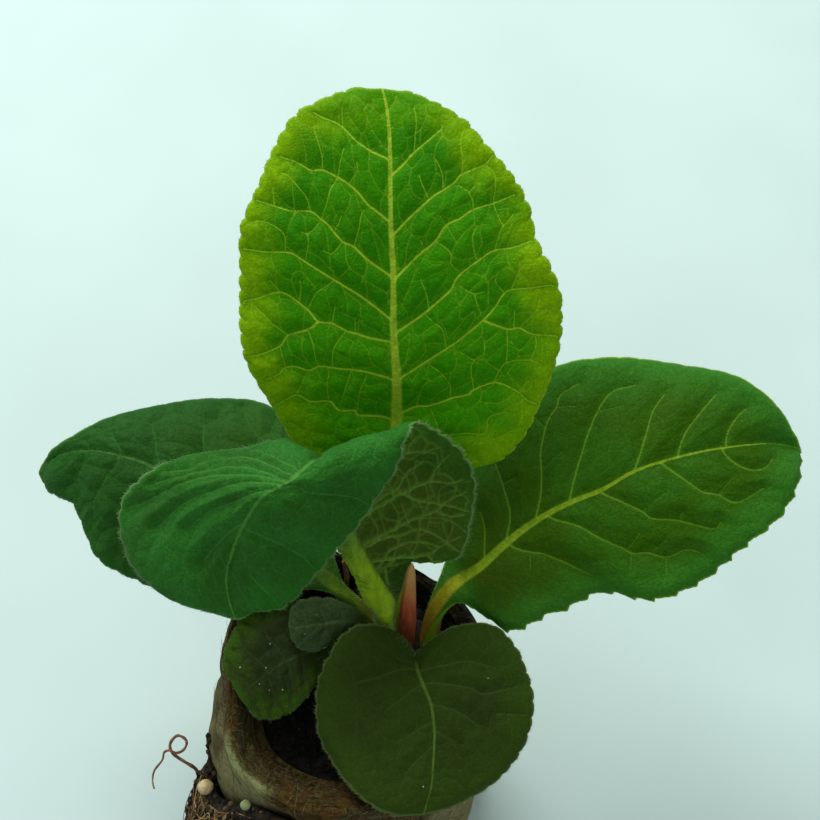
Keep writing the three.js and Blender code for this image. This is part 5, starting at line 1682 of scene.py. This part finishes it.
def side_soil_piece():
    up, across = np.meshgrid(np.linspace(0, 1, SIDE_ROWS), np.linspace(0, 1, SIDE_COLUMNS), indexing="ij")
    outer = side_soil(across, up, 1)
    out = outward(outer)
    fade = np.prod([smooth(0, 0.06, share) for share in (up, 1 - up, across, 1 - across)], axis=0)
    lumps = waves(outer, 2.6, 60) * 0.45 + np.maximum(waves(outer, 1.2, 61), -0.3) * 0.45
    lumps = lumps + np.maximum(waves(outer, 0.8, 63), -0.2) * 0.25
    outer = outer + out * ((lumps - SIDE_SINK) * fade)[..., None]
    points = np.vstack([outer.reshape(-1, 3), side_soil(across, up, 0).reshape(-1, 3)])
    index = np.arange(SIDE_ROWS * SIDE_COLUMNS).reshape(SIDE_ROWS, SIDE_COLUMNS)
    a, b, c, d = index[:-1, :-1], index[:-1, 1:], index[1:, 1:], index[1:, :-1]
    front = np.vstack([np.stack(corners, -1).reshape(-1, 3) for corners in ((a, b, c), (a, c, d))])
    ring = np.concatenate([index[0, :-1], index[:-1, -1], index[-1, :0:-1], index[:0:-1, 0]])
    faces = two_skins(front, ring, index.size)
    material = soil_material("side_soil_surface", srgb(12, 9, 7), srgb(52, 40, 28))
    place(make_object("side_soil_surface", points, faces, [material]), "soil", "side_soil")

    random = np.random.default_rng(SEED + 62)
    spots = []
    for field, count in ((outer[4:-4, 4:-4], SIDE_CRUMBS), (outer[-16:, 4:-4], EDGE_CRUMBS)):
        field = field.reshape(-1, 3)
        spots.append(field[random.integers(0, len(field), count)])
    # A thin line of crumbs that climbs on up the wall at the left
    climb = random.random(RIDGE_CRUMBS)
    turn = np.radians(blend(*RIDGE_TURNS, climb) + random.normal(0, 1, RIDGE_CRUMBS) * blend(2.2, 0.6, climb))
    wall = POT_RIM_RADIUS - 0.1 + random.uniform(0, 0.5, RIDGE_CRUMBS)
    ridge = np.stack([wall * np.cos(turn), wall * np.sin(turn), blend(*RIDGE_HEIGHTS, climb)], axis=-1)
    spots = np.vstack([*spots, settle(ridge)])
    spots = spots - outward(spots) * CRUMB_SINK
    sizes = 0.16 + 0.6 * random.random(len(spots)) ** 2.6
    sizes[-RIDGE_CRUMBS:] = random.uniform(0.35, 0.75, RIDGE_CRUMBS)
    tones = [(14, 11, 8), (34, 26, 18), (62, 48, 31), (104, 82, 50)]
    crumbs_piece("side_crumbs", spots, sizes, random, "soil", tones)

    # Fine roots that run over the soil
    parts = []
    s = np.linspace(0, 1, ROOTLET_STEPS)
    for index in range(ROOTLETS):
        start_across, start_up = random.uniform(0.05, 0.9), random.uniform(0.1, 0.95)
        if index % 2:
            start_across, start_up = random.uniform(0.18, 0.5), random.uniform(0.88, 1)
        heading = random.uniform(0, 2 * math.pi) + np.cumsum(random.normal(0, 0.45, ROOTLET_STEPS))
        reach = random.uniform(0.06, 0.28)
        a = np.clip(start_across + np.cumsum(np.cos(heading)) * reach / ROOTLET_STEPS, 0.02, 0.98)
        u = np.clip(start_up + np.cumsum(np.sin(heading)) * reach / ROOTLET_STEPS, 0.02, 0.98)
        lift = 0.3 * np.sin(math.pi * s) * random.random() - 0.2
        path = side_soil(a, u, 1)
        path = path + outward(path) * lift[:, None]
        tone = random.random() if index % 2 else random.uniform(0, 0.45)
        parts.append((*tube(path, random.uniform(0.05, 0.14) * (1 - 0.5 * s), 4), tone))
    toned_piece("side_rootlets", parts, "dry_plant", [(86, 58, 32), (132, 100, 58), (180, 152, 98)], 0.8)


# Shoot, stalk, root and feed grains

SHOOT = [[10.2, 8, 49.9], [10.3, 9, 55], [10.6, 11, 62], [11, 13.6, 69], [11.1, 14.3, 70.6]]
SHOOT_RADII = [1.2, 1.4, 1.46, 1.26, 0.9, 0.46, 0.06]
SHOOT_WRAP = 1.3  # how far the furled blade's edge turns from foot to tip
STALK = [[-0.4, 14.6, 43.5], [-0.5, 15.6, 47.5], [-1, 17.4, 52], [-0.7, 18.2, 56], [-1.2, 19.4, 60.5]]
STALK_RADII = [0.55, 0.55, 0.5, 0.45, 0.4, 0.32]
ROOT = [
    [-28.8, -9.4, 29.4], [-29.6, -8.9, 30.6], [-31.2, -8.3, 32], [-32.8, -7.5, 33], [-33.7, -6.6, 34],
    [-33.6, -5.6, 35], [-32.4, -4.7, 36], [-31.1, -5.1, 36], [-30.5, -6.1, 36], [-31, -7.4, 36],
    [-32.2, -8, 36], [-33.6, -7.7, 36.5], [-34.6, -7.9, 35.8], [-35, -8.9, 34.6], [-36.6, -10.2, 32.6],
    [-36.9, -11.9, 32], [-36.5, -13.5, 32],
]
ROOT_FOOT = 0.1  # where along the side soil's upper edge it leaves the soil
ROOT_RADII = [0.42, 0.42, 0.38, 0.34, 0.3, 0.26, 0.2]
ROOT_THIN = 0.78  # how thick the root is next to the solid's
PELLETS = {  # place across the side soil, radius, height above it, and colours
    "feed_pellet_large": (0.19, 1.5, 2.25, srgb(186, 158, 112), srgb(222, 198, 150)),
    "feed_pellet_small": (0.57, 0.95, 2.1, srgb(124, 130, 84), srgb(154, 156, 108)),
}
PELLET_OUT = 1.07
PELLET_ROWS, PELLET_SIDES = 30, 40
SPECK_LIFT = 0.55
SPECKS = {  # stations and sides of the leaves where they lie
    "leaf_low_left": [
        (5.2, 0.35), (5.9, 0.1), (6.2, -0.35), (6.5, -0.1), (5.6, -0.5), (4.4, 0.8), (6.7, 0.5),
    ],
    "leaf_front": [(9.6, -0.35), (6.4, -0.6), (8.2, 0.5), (10.1, 0.15)],
    "leaf_small": [(4.4, 0.3), (5.1, -0.4)],
}


def along_list(values, count):
    return np.interp(np.linspace(0, 1, count), np.linspace(0, 1, len(values)), values)


def shoot_piece():
    sides, steps = 40, 90
    angle = round_angles(sides)
    wrap = (angle + np.linspace(0, SHOOT_WRAP, steps)[:, None]) % (2 * math.pi)
    furled = 1 + 0.14 * (1 - wrap / (2 * math.pi)) - 0.1 * np.exp(-((wrap - 0.35) ** 2) / 0.03)
    radius = along_list(SHOOT_RADII, steps)[:, None] * furled * (1 + 0.015 * np.sin(9 * angle))
    points, faces = tube(along_curve(SHOOT, steps), radius, sides)
    height = np.clip((points[:, 2] - SHOOT[0][2]) / (SHOOT[-1][2] - SHOOT[0][2]), 0, 1)
    piece = make_object("shoot_furled", points, faces, [shoot_material()], None, {"along": height})
    place(piece, "shoot", "young_shoot")


def stalk_piece():
    sides, steps = 14, 70
    angle = round_angles(sides)
    radius = along_list(STALK_RADII, steps) * (1 + 0.08 * np.sin(np.arange(steps) * 0.9))
    radius = radius[:, None] * (1 - 0.15 * np.cos(2 * angle) - 0.1 * np.cos(5 * angle))
    material = plain_growth("stalk_skin", srgb(96, 66, 46), srgb(136, 96, 68), 0.8)
    piece = make_object("stalk_dry", *tube(along_curve(STALK, steps), radius, sides), [material])
    place(piece, "dry_plant", "withered_stalk")


def root_piece():
    sides, steps = 8, 150
    start = side_spot(ROOT_FOOT, 1) + [0, 0, ROOT_RADII[0] + GAP]
    knobs = 1 + 0.16 * np.sin(np.arange(steps) * 0.55) * np.sin(np.arange(steps) * 0.21)
    radius = along_list(ROOT_RADII, steps) * knobs * ROOT_THIN
    material = plain_growth("root_skin", srgb(98, 64, 46), srgb(142, 104, 78), 0.8)
    piece = make_object("root_curled", *tube(along_curve([start, *ROOT], steps), radius, sides), [material])
    place(piece, "dry_plant", "loose_root")


def pellet_piece(node, seed, across, radius, above, dark, light):
    foot = side_spot(across, 0)
    centre = foot + outward(foot) * (radius * PELLET_OUT) + [0, 0, above]
    latitude = np.linspace(0, math.pi, PELLET_ROWS)[1:-1]
    lat, lon = np.meshgrid(latitude, round_angles(PELLET_SIDES), indexing="ij")
    ball = np.stack([np.sin(lat) * np.cos(lon), np.sin(lat) * np.sin(lon), -np.cos(lat)], axis=-1)
    dents = 1 + 0.05 * waves(ball * 3, 2.0, 70 + seed) + 0.02 * waves(ball * 3, 0.5, 72 + seed)
    rings = ball * (radius * 0.98 * dents)[..., None] * (1, 1, 0.92) + centre
    end = np.array([0, 0, radius * 0.9])
    material = plain_growth(node + "_coat", dark, light, 0.7)
    piece = make_object(node + "_grain", *closed_rings(rings, centre - end, centre + end), [material])
    place(piece, "pellet", node)


def pale_specks():
    """A few pale grains of dust that lie on the low leaves."""
    random = np.random.default_rng(SEED + 80)
    spots = []
    for node, on_leaf in SPECKS.items():
        leaf = Leaf(node)
        u, t = np.array(on_leaf).T
        spots.append(leaf.sheet(u, t) + leaf.normal(u, t) * SPECK_LIFT)
    spots = np.vstack(spots)
    sizes = random.uniform(0.09, 0.2, len(spots))
    tones = [(150, 156, 136), (186, 190, 176), (208, 210, 200)]
    crumbs_piece("pale_specks", spots, sizes, random, "pellet", tones)


strands_piece(*sleeve_piece())
soil_piece()
side_soil_piece()
shoot_piece()
stalk_piece()
root_piece()
for order, (pellet, values) in enumerate(PELLETS.items()):
    pellet_piece(pellet, order, *values)
pale_specks()
crown = frame["nodes"]["crown"].data
crown.materials.clear()
crown.materials.append(plain_growth("crown_bark", srgb(24, 16, 10), srgb(46, 32, 20), 0.85))


# Floor, light and camera

FLOOR_COLOURS = (srgb(186, 200, 193), srgb(191, 205, 198))
FLOOR_HALF = 3000
FLOOR_HEIGHT = -0.2
SKY_COLOUR = (0.86, 0.98, 1.0, 1)
SKY_STRENGTH = 0.62


def soft_light(name, where, aim, size, power, colour):
    """A round lamp, with its place in metres."""
    lamp = bpy.data.lights.new(name, "AREA")
    lamp.shape = "DISK"
    lamp.size = size
    lamp.energy = power
    lamp.color = colour
    made = bpy.data.objects.new(name, lamp)
    made.location = where
    made.rotation_euler = (Vector(aim) - Vector(where)).to_track_quat("-Z", "Y").to_euler()
    bpy.context.scene.collection.objects.link(made)


def floor_piece():
    signs = ((-1, -1), (1, -1), (1, 1), (-1, 1))
    corners = [(x * FLOOR_HALF, y * FLOOR_HALF, FLOOR_HEIGHT) for x, y in signs]
    made = make_object("floor", corners, [(0, 1, 2), (0, 2, 3)], [floor_material()])


def camera_piece():
    lens = bpy.data.cameras.new("camera")
    lens.lens = LENS
    lens.sensor_width = SENSOR
    lens.sensor_fit = "HORIZONTAL"
    lens.clip_start = 0.01
    made = bpy.data.objects.new("camera", lens)
    made.location = EYE * MM
    made.rotation_euler = (math.pi / 2 - CAMERA_PITCH, 0, 0)
    bpy.context.scene.collection.objects.link(made)
    bpy.context.scene.camera = made


floor_piece()
camera_piece()
soft_light(
    "sky_behind", where=(-0.25, 0.7, 0.9), aim=(0, 0, 0.06), size=0.7, power=14, colour=(0.9, 0.98, 1.0),
)
world = bpy.data.worlds.new("studio")
world.use_nodes = True
background = world.node_tree.nodes["Background"]
background.inputs["Color"].default_value = SKY_COLOUR
background.inputs["Strength"].default_value = SKY_STRENGTH
bpy.context.scene.world = world
bpy.context.scene.view_settings.view_transform = "Standard"
bpy.context.scene.view_settings.look = "None"
